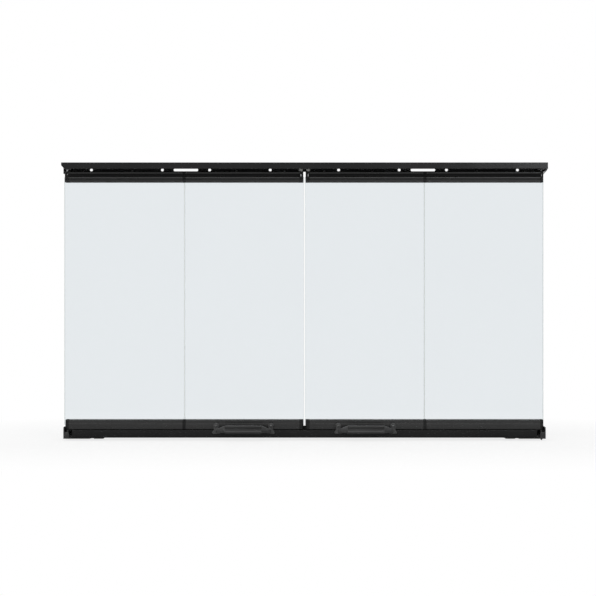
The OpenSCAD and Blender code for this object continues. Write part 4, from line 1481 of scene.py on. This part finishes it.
def fuse(piece: bpy.types.Object, cell: float, passes: int) -> None:
    """Joins the overlapping skins of a casting into one and softens where they meet.

    Args:
        piece: the object; its mesh is replaced.
        cell: size of the new mesh's cells, in metres.
        passes: rounds of smoothing.
    """
    remesh = piece.modifiers.new("fuse", "REMESH")
    remesh.mode = "VOXEL"
    remesh.voxel_size = cell
    smooth = piece.modifiers.new("soften", "SMOOTH")
    smooth.factor = 0.5
    smooth.iterations = passes
    materials = list(piece.data.materials)
    settle(piece)
    piece.data.materials.clear()
    for material in materials:
        piece.data.materials.append(material)
    piece.data.polygons.foreach_set("use_smooth", np.ones(len(piece.data.polygons), bool))
    LOG.info("%s: fused to %d faces", piece.name, len(piece.data.polygons))


@dataclass
class TopTrack:
    """The top track: a folded sheet with a beaded lip, end plates, the guide channel and pivot sockets."""

    layout: Layout = Layout()
    half_l: float = 457.0
    sheet: float = 1.4
    front: float = -30.0
    back: float = 22.0
    lip_z: float = 506.0
    bead: float = 2.0
    wall_z: float = 505.0
    top: float = 518.1
    flange_z: float = 516.7
    hole_z: float = 508.8
    hole_r: float = 2.75
    holes: tuple[float, ...] = (65.5, 181.5, 272.0, 408.0)
    slot_at: float = 227.0
    slot_l: float = 47.0
    rivets: tuple[Span, ...] = ((449.0, 508.2), (449.0, 513.64))
    rivet_r: float = 1.6
    rivet_hole_r: float = 1.65
    rivet_head_r: float = 2.5
    rivet_head_h: float = 1.0
    foot_z: float = 499.0
    ear_z: float = 512.1
    ear_cut: tuple[Span, ...] = ((-460.0, 504.0), (-452.1, 504.0), (-452.9, 508.4), (-460.0, 514.8))
    channel_half: float = 432.0
    channel_y: Span = (-13.3, -2.7)
    channel_z: float = 508.8
    channel_t: float = 1.2
    socket_z: float = 507.2
    spigot_r: float = 3.0
    spigot_hole_r: float = 3.1
    edge: float = 0.15

    def section(self) -> np.ndarray:
        """Outline of the sheet.

        Returns:
            (n, 2) points (y, z) round the lip with its rolled bead, the flange and the back wall.
        """
        f, b, t, bead = self.front, self.back, self.sheet, self.front + self.bead
        corners = [(f, self.lip_z), (f, self.top), (b, self.top), (b, self.wall_z), (b - t, self.wall_z),
                   (b - t, self.flange_z), (f + t, self.flange_z), (f + t, self.lip_z + 2.2),
                   (bead, self.lip_z + 1.6), (bead, self.lip_z)]
        return rounded(corners, np.array([0.9, 1.0, 1.3, 0.5, 0.5, 0.4, 0.4, 0.3, 0.3, 0.9]))

    def wall_cutters(self) -> list[Shell]:
        """What is cut out of the sheet.

        Returns:
            The lip's corner, and on each side the wall's holes and slot, the rivets' and the socket's.
        """
        low, high, plane = self.back - 3 * self.sheet, self.back + 1, Plane.XZ_ALONG_Y
        cutters = [slab(rounded(self.ear_cut, 0.3), self.front - 1, self.front + 3, 0, plane)]
        for k in (-1, 1):
            cutters += [plug(k * x, self.hole_z, self.hole_r, low, high, plane, 40) for x in self.holes]
            slot = panel(about(k * self.slot_at, self.slot_l / 2), about(self.hole_z, self.hole_r),
                         self.hole_r * 0.995, 12)
            cutters.append(slab(slot, low, high, 0, plane))
            cutters += [plug(k * x, z, self.rivet_hole_r, low, high, plane) for x, z in self.rivets]
            cutters.append(plug(k * self.layout.pivot_x, self.layout.pin_y, self.spigot_hole_r,
                                self.flange_z - 1, self.top + 1, Plane.XY_ALONG_Z))
        return cutters

    def build_sheet(self) -> None:
        """Makes the sheet, with painted light inside: a paler, matt black that lifts the shade on its inner
        faces.
        """
        half = self.half_l - self.sheet
        sheet = add_piece("top_track_sheet", slab(self.section(), -half, half, self.edge, Plane.YZ_ALONG_X),
                          "frame", Finish.TRACK, ["top_track"], cutters=self.wall_cutters())
        y, z = face_centres(sheet)[:, 1:].T
        t = self.sheet - 0.05
        # painted light on the sheet's shaded inner faces
        inside = (y > self.front + t) & (y < self.back - t) & (z < self.top - t) & (z > self.wall_z + 0.5)
        repaint(sheet, Finish.TRACK_INSIDE, inside)

    def build_ends(self) -> None:
        """Makes the end plates with their riveted flanges; the left one is stepped."""
        inner = self.half_l - self.sheet
        rim = [(self.back, self.foot_z), (self.back, self.top), (self.front, self.top)]
        plates = {
            Side.LEFT: rounded([(self.front, self.ear_z), (-10.0, 510.8), (-5.0, 509.6),
                                (-5.0, self.foot_z), *rim], np.array([0.3, 2.5, 0.8, 1.0, 1.5, 1.2, 1.0])),
            Side.RIGHT: rounded([(self.front, self.lip_z), (-26.0, self.lip_z), (-20.0, 503.76), *rim],
                                np.array([0.5, 2.5, 3.0, 1.5, 1.2, 1.0])),
        }
        flange = panel((inner - 14.0, inner + 0.1), (self.wall_z + 0.4, self.flange_z), [2.5, 0.3, 0.3, 2.5])
        low = self.back - 2 * self.sheet
        cutters = [plug(x, z, self.rivet_hole_r, low - 1, self.back + 1, Plane.XZ_ALONG_Y)
                   for x, z in self.rivets]
        for side in Side:
            skins = joined([slab(plates[side], inner, self.half_l, 0.3, Plane.YZ_ALONG_X),
                            slab(flange, low, low + self.sheet, 0.2, Plane.XZ_ALONG_Y)])
            add_frame_piece(side, "track_end", skins, Finish.TRACK, "top_end_plate", cutters)

    def build_rivets(self) -> None:
        """Makes the rivets; the head at turn t is the dome (head_r sin t, head_h cos t)."""
        turn = np.linspace(0, np.pi / 2, 7)[1:]
        dome = np.stack([self.rivet_head_r * np.sin(turn), self.rivet_head_h * np.cos(turn)], -1)
        shank = [[self.rivet_r, 0.0], [self.rivet_r, -2 * self.sheet]]
        upright = turned(np.concatenate([[[0.3, self.rivet_head_h]], dome, shank]), 28)
        rivet = upright.mapped(lambda p: np.stack([p[:, 0], -p[:, 2], p[:, 1]], -1))
        seat = self.back - 2 * self.sheet
        skins = [rivet.moved(k * x, seat, z) for k in (-1, 1) for x, z in self.rivets]
        add_piece("track_end_rivets", joined(skins), "frame", Finish.HINGE, ["top_end_plate_rivets"])

    def build_channel(self) -> None:
        """Makes the guide channel, bent from sheet."""
        (near, far), low, high, t = self.channel_y, self.channel_z, self.flange_z, self.channel_t
        corners = [(near, low), (near, high), (far, high), (far, low), (far - t, low), (far - t, high - t),
                   (near + t, high - t), (near + t, low)]
        outline = rounded(corners, np.array([0.5, 1.7, 1.7, 0.5, 0.5, 0.6, 0.6, 0.5]))
        shell = slab(outline, -self.channel_half, self.channel_half, self.edge, Plane.YZ_ALONG_X)
        add_piece("guide_channel_skin", shell, "frame", Finish.BRACKET, ["guide_channel"])

    def build_sockets(self) -> None:
        """Makes the nylon pivot sockets, with a lead-in below and a spigot above."""
        x, y = self.layout.pivot_x, self.layout.pin_y
        skins = joined([
            slab(panel(about(x, 6), about(y, 7), 2.0), self.socket_z, self.flange_z, 0.6, Plane.XY_ALONG_Z),
            slab(circle(x, y, self.spigot_r), self.flange_z - 1.5, self.top, 0.4, Plane.XY_ALONG_Z)])
        bore = turned(np.array([[2.75, self.socket_z - 0.1], [1.85, 508.0], [1.85, 512.95]]), 32).moved(x, y)
        for side in Side:
            add_frame_piece(side, "pivot_socket", skins, Finish.BLACK_NYLON, "upper_pivot_socket", [bore])

    def build(self) -> None:
        """Makes the track, its ends and what hangs in it."""
        self.build_sheet()
        self.build_ends()
        self.build_rivets()
        self.build_channel()
        self.build_sockets()


@dataclass
class BottomTrack:
    """The bottom track, the brackets under its ends, the studs with their nuts, and the catches."""

    layout: Layout = Layout()
    sheet: float = 1.4
    front: float = -20.0
    back: float = 22.0
    lip_h: float = 14.1
    wall_h: float = 19.4
    half_l: float = 452.7
    lip_half_l: float = 438.05
    edge: float = 0.15
    bracket_x: float = 454.65
    bracket_t: float = 1.8
    bracket_l: float = 75.7
    bracket_h: float = 20.4
    tab_l: float = 10.6
    tab_h: float = 11.0
    slot_x: float = 400.55
    slot_half: float = 3.75
    hearth_x: float = 420.0
    hearth_hole_r: float = 2.75
    stud_hole_r: float = 2.1
    bracket_stud_hole_r: float = 2.05
    screw_hole_r: float = 1.45
    catch_screws: tuple[Span, ...] = ((51.5, 14.05), (92.5, 14.05))
    bracket_screws: tuple[Span, ...] = ((390.95, 2.0), (434.5, 13.0))
    stud_drop: float = 3.6
    thread_pitch: float = 0.7
    thread_depth: float = 0.32
    thread_top: float = 10.0
    nut_h: float = 3.2
    catch_x: float = 72.0
    catch_h: float = 17.2
    ear_t: float = 1.6
    pole_x: float = 10.2

    def section(self) -> np.ndarray:
        """Outline of the sheet.

        Returns:
            (n, 2) points (y, z) round the lip, the floor and the back wall.
        """
        f, b, t = self.front, self.back, self.sheet
        corners = [(f, self.lip_h), (f, 0), (b, 0), (b, self.wall_h), (b - t, self.wall_h), (b - t, t),
                   (f + t, t), (f + t, self.lip_h)]
        return rounded(corners, np.array([0.6, 2.0, 1.2, 0.6, 0.6, 0.5, 0.6, 0.6]))

    def floor_holes(self) -> list[Shell]:
        """What is cut out of the track's floor.

        Returns:
            On each side the holes of the small screws, the stud and the hearth screw.
        """
        places = [(x, y, self.screw_hole_r) for x, y in (*self.catch_screws, *self.bracket_screws)]
        places += [(self.layout.pivot_x, self.layout.pin_y, self.stud_hole_r),
                   (self.hearth_x, 0.0, self.hearth_hole_r)]
        return [plug(k * x, y, r, -1, self.sheet + 1, Plane.XY_ALONG_Z, 36)
                for k in (-1, 1) for x, y, r in places]

    def build_track(self) -> None:
        """Makes the track; its lip stops short of the brackets' tabs, and is notched under the catches."""
        cutters, round_r, sharp_r = self.floor_holes(), 2.5, 0.1
        for k in (-1, 1):
            ends = tuple(sorted((k * self.lip_half_l, k * (self.half_l + 1))))
            radii = [round_r, sharp_r, sharp_r, sharp_r] if k > 0 else [sharp_r, round_r, sharp_r, sharp_r]
            lip_cut = panel(ends, (-1, self.lip_h + 1), radii)
            cutters.append(slab(lip_cut, self.front - 1, self.front + 2.0, 0, Plane.XZ_ALONG_Y))
            notch = panel(about(k * self.catch_x, 2), (-2, 1.2), 0.5)
            cutters.append(slab(notch, self.front - 1, self.front + 3.0, 0, Plane.XZ_ALONG_Y))
        shell = slab(self.section(), -self.half_l, self.half_l, self.edge, Plane.YZ_ALONG_X)
        sheet = add_piece("bottom_track_sheet", shell, "frame", Finish.TRACK, ["bottom_track"],
                          cutters=cutters)
        y, z = face_centres(sheet)[:, 1:].T
        t = self.sheet - 0.05
        # painted light on the track's shaded inner faces
        inside = (y > self.front + t) & (y < self.back - t) & (z > t) & (z < self.lip_h - 0.5)
        repaint(sheet, Finish.TRACK_INSIDE, inside)

    def build_brackets(self) -> None:
        """Makes the folded brackets: a base, a side plate and a front tab, all from one sheet."""
        t, out, front, back = self.bracket_t, self.bracket_x, self.front, self.back
        base = panel((out - self.bracket_l, out), (front, back), [4.0, 0.8, 0.8, 4.0])
        side_plate = panel((front, back), (-t, self.bracket_h), [0.8, 0.8, 4.0, 4.0])
        tab = panel((out - self.tab_l, out), (-t, self.tab_h), [0.5, 0.8, 0.8, 3.0])
        skins = joined([slab(base, -t, 0, 0.3, Plane.XY_ALONG_Z),
                        slab(side_plate, out - t, out, 0.5, Plane.YZ_ALONG_X),
                        slab(tab, front, front + t, 0.5, Plane.XZ_ALONG_Y)])
        slot = panel(about(self.slot_x, self.slot_half), (front - 10, front + 9), [0.5, 0.5, 3.6, 3.6])
        holes = [(self.layout.pivot_x, self.layout.pin_y, self.bracket_stud_hole_r),
                 (self.hearth_x, 0.0, self.hearth_hole_r),
                 *((x, y, self.screw_hole_r) for x, y in self.bracket_screws)]
        cutters = [slab(slot, -t - 1, 1, 0, Plane.XY_ALONG_Z)]
        cutters += [plug(x, y, r, -t - 1, 0.5, Plane.XY_ALONG_Z, 36) for x, y, r in holes]
        for side in Side:
            add_frame_piece(side, "bracket", skins, Finish.BRACKET, "lower_bracket", cutters)

    def stud(self, tip_z: float) -> Shell:
        """A pivot stud: point, thread, collar and plain pin.

        The thread's radius at height z and turn a is r - depth * |2 * frac(z / pitch - a) - 1|, with a
        in whole turns.

        Args:
            tip_z: height of its lower end.

        Returns:
            The skin, about its own axis.
        """
        r, collar, pin, pitch = 2.0, 3.4, 1.8, self.thread_pitch
        low, high = min(tip_z + 2.4, -self.bracket_t), self.thread_top
        thread_z = np.linspace(low, high, int((high - low) / pitch * 10))
        point = np.array([[tip_z, 0.6], [low - 0.01, r]]) if tip_z < low else np.array([[tip_z, r - 0.3]])
        head = np.array([[10.05, 2.9], [10.35, collar], [13.95, collar], [14.25, 3.1], [14.26, pin],
                         [23.0, pin], [23.4, pin - 0.4]])
        z = np.concatenate([point[:, 0], thread_z, head[:, 0]])
        radius = np.concatenate([point[:, 1], np.full(len(thread_z), r), head[:, 1]])
        cut = self.thread_depth * np.repeat([0, 1, 0], [len(point), len(thread_z), len(head)])
        a = np.linspace(0, 1, 40, endpoint=False)
        wave = np.abs(2 * np.mod(z[:, None] / pitch - a, 1.0) - 1)
        return lathe(radius[:, None] - cut[:, None] * wave, z, 2 * np.pi * a)

    def nut(self) -> Shell:
        """A hexagon nut with chamfered corners and a bore.

        Its outline is flat / cos(t) with t measured from the nearest flat's middle, and near either
        end it stays inside a cone.

        Returns:
            The skin, about its own axis.
        """
        flat, low, high = 3.5, self.sheet, self.sheet + self.nut_h
        turn = np.linspace(0, 2 * np.pi, 72, endpoint=False)
        local = np.mod(turn + np.pi / 6, np.pi / 3) - np.pi / 6
        away = np.array([0.0, 0.12, 0.3, 0.5])
        limit = flat * 0.98 + 1.5 * np.concatenate([away, away[::-1]])
        outer = np.minimum(flat / np.cos(local)[None, :], limit[:, None])
        bore = np.broadcast_to(np.array([2.35, 2.05, 2.05, 2.35])[:, None], (4, len(turn)))
        z = np.concatenate([low + away, high - away[::-1], [high, high - 0.3, low + 0.3, low]])
        return lathe(np.concatenate([outer, bore]), z, turn, closed=True)

    def build_studs(self) -> None:
        """Makes the pivot studs and their lock nuts; the right stud stands lower."""
        x, y = self.layout.pivot_x, self.layout.pin_y
        for side, tip_z in ((Side.LEFT, -self.bracket_t), (Side.RIGHT, -self.bracket_t - self.stud_drop)):
            shell = self.stud(tip_z).moved(side.value * x, y)
            add_piece(f"{side.word}_pivot_stud", shell, "frame", Finish.STUD, [f"{side.word}_lower_pivot_pin"])
        nuts = joined(self.nut().moved(k * x, y) for k in (-1, 1))
        add_piece("pivot_lock_nuts", nuts, "frame", Finish.STUD, ["lower_pivot_nuts"], crease=20.0)

    def build_catches(self) -> None:
        """Makes the catches: a moulded case with two screw ears, and two steel pole pieces."""
        x, floor, up, out = self.catch_x, self.sheet, Plane.XY_ALONG_Z, Plane.XZ_ALONG_Y
        case = slab(panel(about(x, 17), (7.5, 20.6), 1.6), floor, floor + self.catch_h, 0.8, up)
        ears = slab(panel(about(x, 24), (10.55, 17.55), 3.2), floor, floor + self.ear_t, 0.3, up)
        holes = [plug(*at, self.screw_hole_r, 0, 4, up) for at in self.catch_screws]
        poles_x = [x + k * self.pole_x for k in (-1, 1)]
        mouths = [slab(panel(about(at, 1.5), (9.14, 16.88), 0.3), 6, 8.5, 0, out) for at in poles_x]
        poles = joined(slab(panel(about(at, 1.35), (9.3, 16.7), 0.3), 7.65, 8.45, 0.15, out) for at in poles_x)
        for side in Side:
            add_frame_piece(side, "catch_case", joined([case, ears]), Finish.CATCH, "magnetic_catch",
                            [*holes, *mouths])
            add_frame_piece(side, "catch_poles", poles, Finish.STEEL, "magnetic_catch")

    def build_screws(self) -> None:
        """Makes the raised screws of the catches and brackets."""
        kinds = ((self.catch_screws, self.sheet + self.ear_t, 3.0), (self.bracket_screws, self.sheet, 3.2))
        skins = [Screw((k * x, y, seat), Facing.TOP, depth).shell()
                 for k in (-1, 1) for places, seat, depth in kinds for x, y in places]
        add_piece("frame_screw_set", joined(skins), "frame", Finish.SCREW, ["frame_screws"], crease=40.0)

    def build(self) -> None:
        """Makes everything at the bottom of the frame."""
        self.build_track()
        self.build_brackets()
        self.build_studs()
        self.build_catches()
        self.build_screws()


@dataclass
class Guides:
    """The turning and sliding pieces at the upper corners of a folding pair."""

    side: Side
    layout: Layout = Layout()
    guide_x: float = 6.9
    roller_z: Span = (503.6, 513.4)
    coil_r: float = 1.4
    wire: float = 0.6
    coils: float = 8.0
    travel: float = 6.0

    def roller(self) -> Shell:
        """The roller.

        Returns:
            A turned tube with chamfered rims and a recess between hub and rim.
        """
        low, high = self.roller_z
        half = np.array([[1.85, 0.15], [2.0, 0.0], [2.5, 0.0], [2.65, 0.3], [3.1, 0.3], [3.25, 0.0],
                         [3.5, 0.0], [3.75, 0.3], [3.8, 0.8]])
        lower = half + np.array([0, low])
        upper = (half * np.array([1, -1]) + np.array([0, high]))[::-1]
        return turned(np.concatenate([lower, upper]), closed=True)

    def build_turned(self) -> None:
        """Makes the roller, its pin and the sprung pivot, which are turned about their own axes."""
        word, y = self.side.word, self.layout.pin_y
        pin = turned(np.array([[1.5, 491.3], [1.8, 491.6], [1.8, 513.54], [2.8, 513.55], [3.0, 513.75],
                               [3.0, 514.35], [2.6, 514.75], [0.4, 514.75]]), 40)
        pivot = turned(np.array([[0.7, 491.0], [0.9, 491.2], [0.9, 497.29], [1.7, 497.3], [1.8, 497.4],
                                 [1.8, 512.0], [1.0, 512.8]]), 40)
        pivot_x = self.layout.pivot_x
        for name, shell, x, body, finish, node in (
                ("roller_tread", self.roller(), self.guide_x, "roller", Finish.NYLON, "guide_roller"),
                ("roller_pin", pin, self.guide_x, "inner_door", Finish.STEEL, "guide_pin"),
                ("pivot_plunger", pivot, pivot_x, "upper_pivot", Finish.STEEL, "upper_pivot_pin")):
            add_piece(f"{word}_{name}", shell.moved(self.side.value * x, y), f"{word}_{body}", finish,
                      [f"{word}_{node}"], crease=25.0)

    def build_spring(self) -> None:
        """Makes the pivot's spring, as long as the CAD spring."""
        word, x, y = self.side.word, self.side.value * self.layout.pivot_x, self.layout.pin_y
        node = f"{word}_upper_pivot_spring"
        low, high = (corner[2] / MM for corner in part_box(node))
        shell = coil(self.coil_r, self.wire / 2, low, high, self.coils).moved(x, y)
        spring = add_piece(f"{word}_pivot_coil", shell, f"{word}_outer_door", Finish.STEEL, [node],
                           crease=60.0)
        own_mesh(spring)

    def build(self) -> None:
        """Makes the guides of one side."""
        self.build_turned()
        self.build_spring()


@dataclass
class DoorFittings:
    """What is screwed to the back of a door: hinge leaves, and on an inner door the strike plate."""

    door: Door
    knuckle_r: float = 2.4
    pin_hole_r: float = 1.35
    axis_y: float = 8.6
    play: float = 0.15
    strike_z: Span = (16.8, 30.8)

    def build_leaves(self) -> None:
        """Makes the hinge leaves: a plate with round corners that runs into its knuckles."""
        size, door, third = self.door.layout, self.door, self.door.layout.hinge_h / 3
        x, back, play = size.fold_x, size.rail_back, self.play
        near, ease = x - size.leaf_off, play if door.inner else 0.0
        own, other = ([1], [0, 2]) if door.inner else ([0, 2], [1])
        skins, cutters = [], []
        for z in size.hinge_z:
            plate = panel((near - size.leaf_l, near), (z, z + size.hinge_h), [3.0, 0.2, 0.2, 3.0])
            skins.append(slab(plate, back, back + size.leaf_t, 0.25, Plane.XZ_ALONG_Y))
            skins += [slab(circle(x, self.axis_y, self.knuckle_r, 40), z + k * third + ease,
                           z + (k + 1) * third - ease, 0.3, Plane.XY_ALONG_Z) for k in own]
            cutters += [plug(x, self.axis_y, self.knuckle_r + 0.3, z + k * third - play,
                             z + (k + 1) * third + play, Plane.XY_ALONG_Z, 40) for k in other]
            cutters.append(plug(x, self.axis_y, self.pin_hole_r, z - 1, z + size.hinge_h + 1,
                                Plane.XY_ALONG_Z))
        cutters += [screw.room() for screw in DoorScrews(door).hinge_screws()]
        door.add(f"{door.word}_leaf_set", joined(skins), Finish.HINGE, f"{door.word}_hinge_leaves",
                 cutters=cutters)

    def build_strike(self) -> None:
        """Makes the strike plate that the catch holds."""
        size, word = self.door.layout, self.door.side.word
        plate = slab(panel(about(size.strike_x, size.strike_half), self.strike_z, 2.5), size.rail_back,
                     size.rail_back + size.strike_t, 0.25, Plane.XZ_ALONG_Y)
        cutters = [screw.room() for screw in DoorScrews(self.door).strike_screws()]
        self.door.add(f"{word}_strike", plate, Finish.STEEL, f"{word}_strike_plate", cutters=cutters)

    def build(self) -> None:
        """Makes the door's fittings."""
        self.build_leaves()
        if self.door.inner:
            self.build_strike()


@dataclass
class Hardware:
    """The CAD pieces that stay in view, each with its finish by the end of its name."""

    finishes: dict[str, Finish] = field(default_factory=lambda: {
        "gaskets": Finish.GASKET, "hinge_pins": Finish.STEEL})

    def build(self) -> None:
        """Dresses them."""
        for node in sorted(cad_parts):
            for word, finish in self.finishes.items():
                if node.endswith(word):
                    dress(node, finish)


# ----------------------------------------
# Stage, lamps and camera
# ----------------------------------------


@dataclass(frozen=True)
class Softbox:
    """A soft lamp that faces a target.

    Attributes:
        name: its name.
        at: its place, in metres.
        size: its width and height.
        watts: its power.
        target: the point that it faces.
        colour: its colour.
    """

    name: str
    at: Triple
    size: Span
    watts: float
    target: Triple = (0.0, 0.0, 0.26)
    colour: Colour = (1.0, 1.0, 1.0)

    def build(self) -> None:
        """Adds the lamp."""
        data = bpy.data.lights.new(self.name, "AREA")
        data.shape = "RECTANGLE"
        data.size, data.size_y = self.size
        data.energy = self.watts
        data.color = self.colour
        lamp = bpy.data.objects.new(self.name, data)
        lamp.location = self.at
        lamp.rotation_euler = (Vector(self.target) - Vector(self.at)).to_track_quat("-Z", "Y").to_euler()
        bpy.context.scene.collection.objects.link(lamp)


@dataclass
class Studio:
    """A white studio: pale floor, white surround, soft lamps and the photograph's camera.

    Attributes:
        floor_z: height of the floor, in metres.
        floor_size: its width.
        floor_white: its paleness where it takes light and shadow.
        shadow_share: share of plain, shadow-taking floor under the object.
        half_length: half length of the area that counts as under the object.
        half_depth: half its depth.
        bright_level: brightness that gloss shows of the floor a little way off.
        room_level: brightness of the room side as the pieces mirror it.
        high_level: brightness of the band above eye level.
        top_share: share of that brightness that is left overhead.
        camera_at: the camera's place, in metres; it looks level along Y.
        lens: its focal length, in millimetres.
        sensor: width of its sensor, in millimetres.
        lamps: the soft lamps.
    """

    floor_z: float = -0.0056
    floor_size: float = 60.0
    floor_white: float = 0.86
    shadow_share: float = 0.22
    half_length: float = 0.457
    half_depth: float = 0.045
    bright_level: float = 0.9
    room_level: float = 0.42
    high_level: float = 1.25
    top_share: float = 0.4
    camera_at: Triple = (-0.0123, -2.5, 0.2635)
    lens: float = 79.5
    sensor: float = 36.0
    lamps: tuple[Softbox, ...] = (
        Softbox("key_softbox", (-0.3, -1.9, 2.0), (2.4, 1.4), 18.0),
        Softbox("right_softbox", (1.16, -2.2, 1.02), (0.8, 0.44), 8.5, (0.3, 0.0, 0.5), (0.95, 0.98, 1.0)),
        Softbox("left_softbox", (-2.0, -1.4, 0.9), (0.8, 1.4), 6.0),
    )

    def floor(self) -> None:
        """A flat floor whose shadow fades out between 0.08 and 0.42 m from the object.

        The distance from the object is the length of max(|p| - half size, 0). The floor is white
        where it is seen. In gloss it is dark close by, brightens up to 0.2 m off, falls to the
        room's level from 0.4 m on, and is white behind the object.
        """
        half, z = self.floor_size / 2, self.floor_z
        corners = [(-half, -half, z), (half, -half, z), (half, half, z), (-half, half, z)]
        mesh = bpy.data.meshes.new("floor")
        mesh.from_pydata(corners, [], [(0, 1, 2, 3)])
        floor = bpy.data.objects.new("floor", mesh)
        bpy.context.scene.collection.objects.link(floor)
        book = NodeBook("pale_floor")
        absolute = book.vector("ABSOLUTE", book.place).outputs[0]
        beyond = book.vector("SUBTRACT", absolute, (self.half_length, self.half_depth, 1.0)).outputs[0]
        outside = book.vector("MAXIMUM", beyond).outputs[0]
        distance = book.vector("LENGTH", outside).outputs["Value"]
        near = book.spread(distance, 1.0, 0.0, start=0.08, end=0.42)
        rise = book.spread(distance, 0.16, self.bright_level, start=0.095, end=0.2)
        fall = book.spread(distance, 1.0, self.room_level / self.bright_level, start=0.4, end=0.65)
        behind = book.spread(book.axis(book.place, "Y"), 0.0, 1.0, start=0.0, end=0.15)
        mirrored = book.math("MAXIMUM", book.math("MULTIPLY", rise, fall), behind)
        seen, gloss = book.rays()
        matt = book.add("ShaderNodeBsdfDiffuse", {"Color": (*grey(self.floor_white), 1)})
        bright = book.add("ShaderNodeEmission", {"Strength": book.math("MAXIMUM", seen, mirrored)})
        plain = book.math("SUBTRACT", 1.0, book.math("MULTIPLY", near, self.shadow_share))
        share = book.math("MULTIPLY", book.math("MAXIMUM", seen, gloss), plain)
        mix = book.add("ShaderNodeMixShader", {"Fac": share, 1: matt.outputs[0], 2: bright.outputs[0]})
        output = next(n for n in book.tree.nodes if n.type == "OUTPUT_MATERIAL")
        book.feed(output.inputs["Surface"], mix.outputs[0])
        mesh.materials.append(book.material)

    def surround(self) -> None:
        """The world: white where it is seen and behind the object, and brighter above the room.

        In gloss and as light, the room side rises from room_level to high_level between 5 and 13
        degrees up, and falls to top_share of that between 25 and 38 degrees up.
        """
        world = bpy.data.worlds.new("studio")
        bpy.context.scene.world = world
        world.use_nodes = True
        world.node_tree.nodes.clear()
        book = Nodes(world.node_tree)
        towards = book.add("ShaderNodeTexCoord").outputs["Generated"]
        height = book.axis(towards, "Z")
        band = book.spread(height, self.room_level, self.high_level, start=0.085, end=0.22)
        room = book.math("MULTIPLY", band, book.spread(height, 1.0, self.top_share, start=0.42, end=0.62))
        behind = book.spread(book.axis(towards, "Y"), 0.0, 1.0, start=-0.10, end=0.25)
        seen, gloss = book.rays()
        white = (*grey(1.0), 1.0)
        lit = book.add("ShaderNodeBackground", {"Color": white, "Strength": room})
        plain = book.add("ShaderNodeBackground", {"Color": white, "Strength": 1.0})
        share = book.math("MAXIMUM", seen, book.math("MULTIPLY", gloss, behind))
        mix = book.add("ShaderNodeMixShader", {"Fac": share, 1: lit.outputs[0], 2: plain.outputs[0]})
        book.add("ShaderNodeOutputWorld", {"Surface": mix.outputs[0]})

    def camera(self) -> None:
        """The photograph's camera: level, nearly central, 2.5 m in front of the glass."""
        data = bpy.data.cameras.new("camera")
        data.lens = self.lens
        data.sensor_width = self.sensor
        camera = bpy.data.objects.new("camera", data)
        camera.location = self.camera_at
        camera.rotation_euler = (math.pi / 2, 0, 0)
        bpy.context.scene.collection.objects.link(camera)
        bpy.context.scene.camera = camera

    def build(self) -> None:
        """Sets up the whole studio."""
        bpy.context.scene.view_settings.view_transform = "Standard"
        self.camera()
        self.floor()
        self.surround()
        for lamp in self.lamps:
            lamp.build()
        LOG.info("studio ready")


def main() -> None:
    """Builds the studio, dresses the CAD pieces and adds the finer ones."""
    logging.basicConfig(level=logging.INFO, format="%(name)s: %(message)s")
    Studio().build()
    Hardware().build()
    TopTrack().build()
    BottomTrack().build()
    for side in Side:
        for inner in (False, True):
            door = Door(side, inner)
            for part in (DoorRails(door), DoorPane(door), DoorScrews(door), DoorFittings(door)):
                part.build()
        Handle(side).build()
        Guides(side).build()


if __name__ == "__main__":
    main()
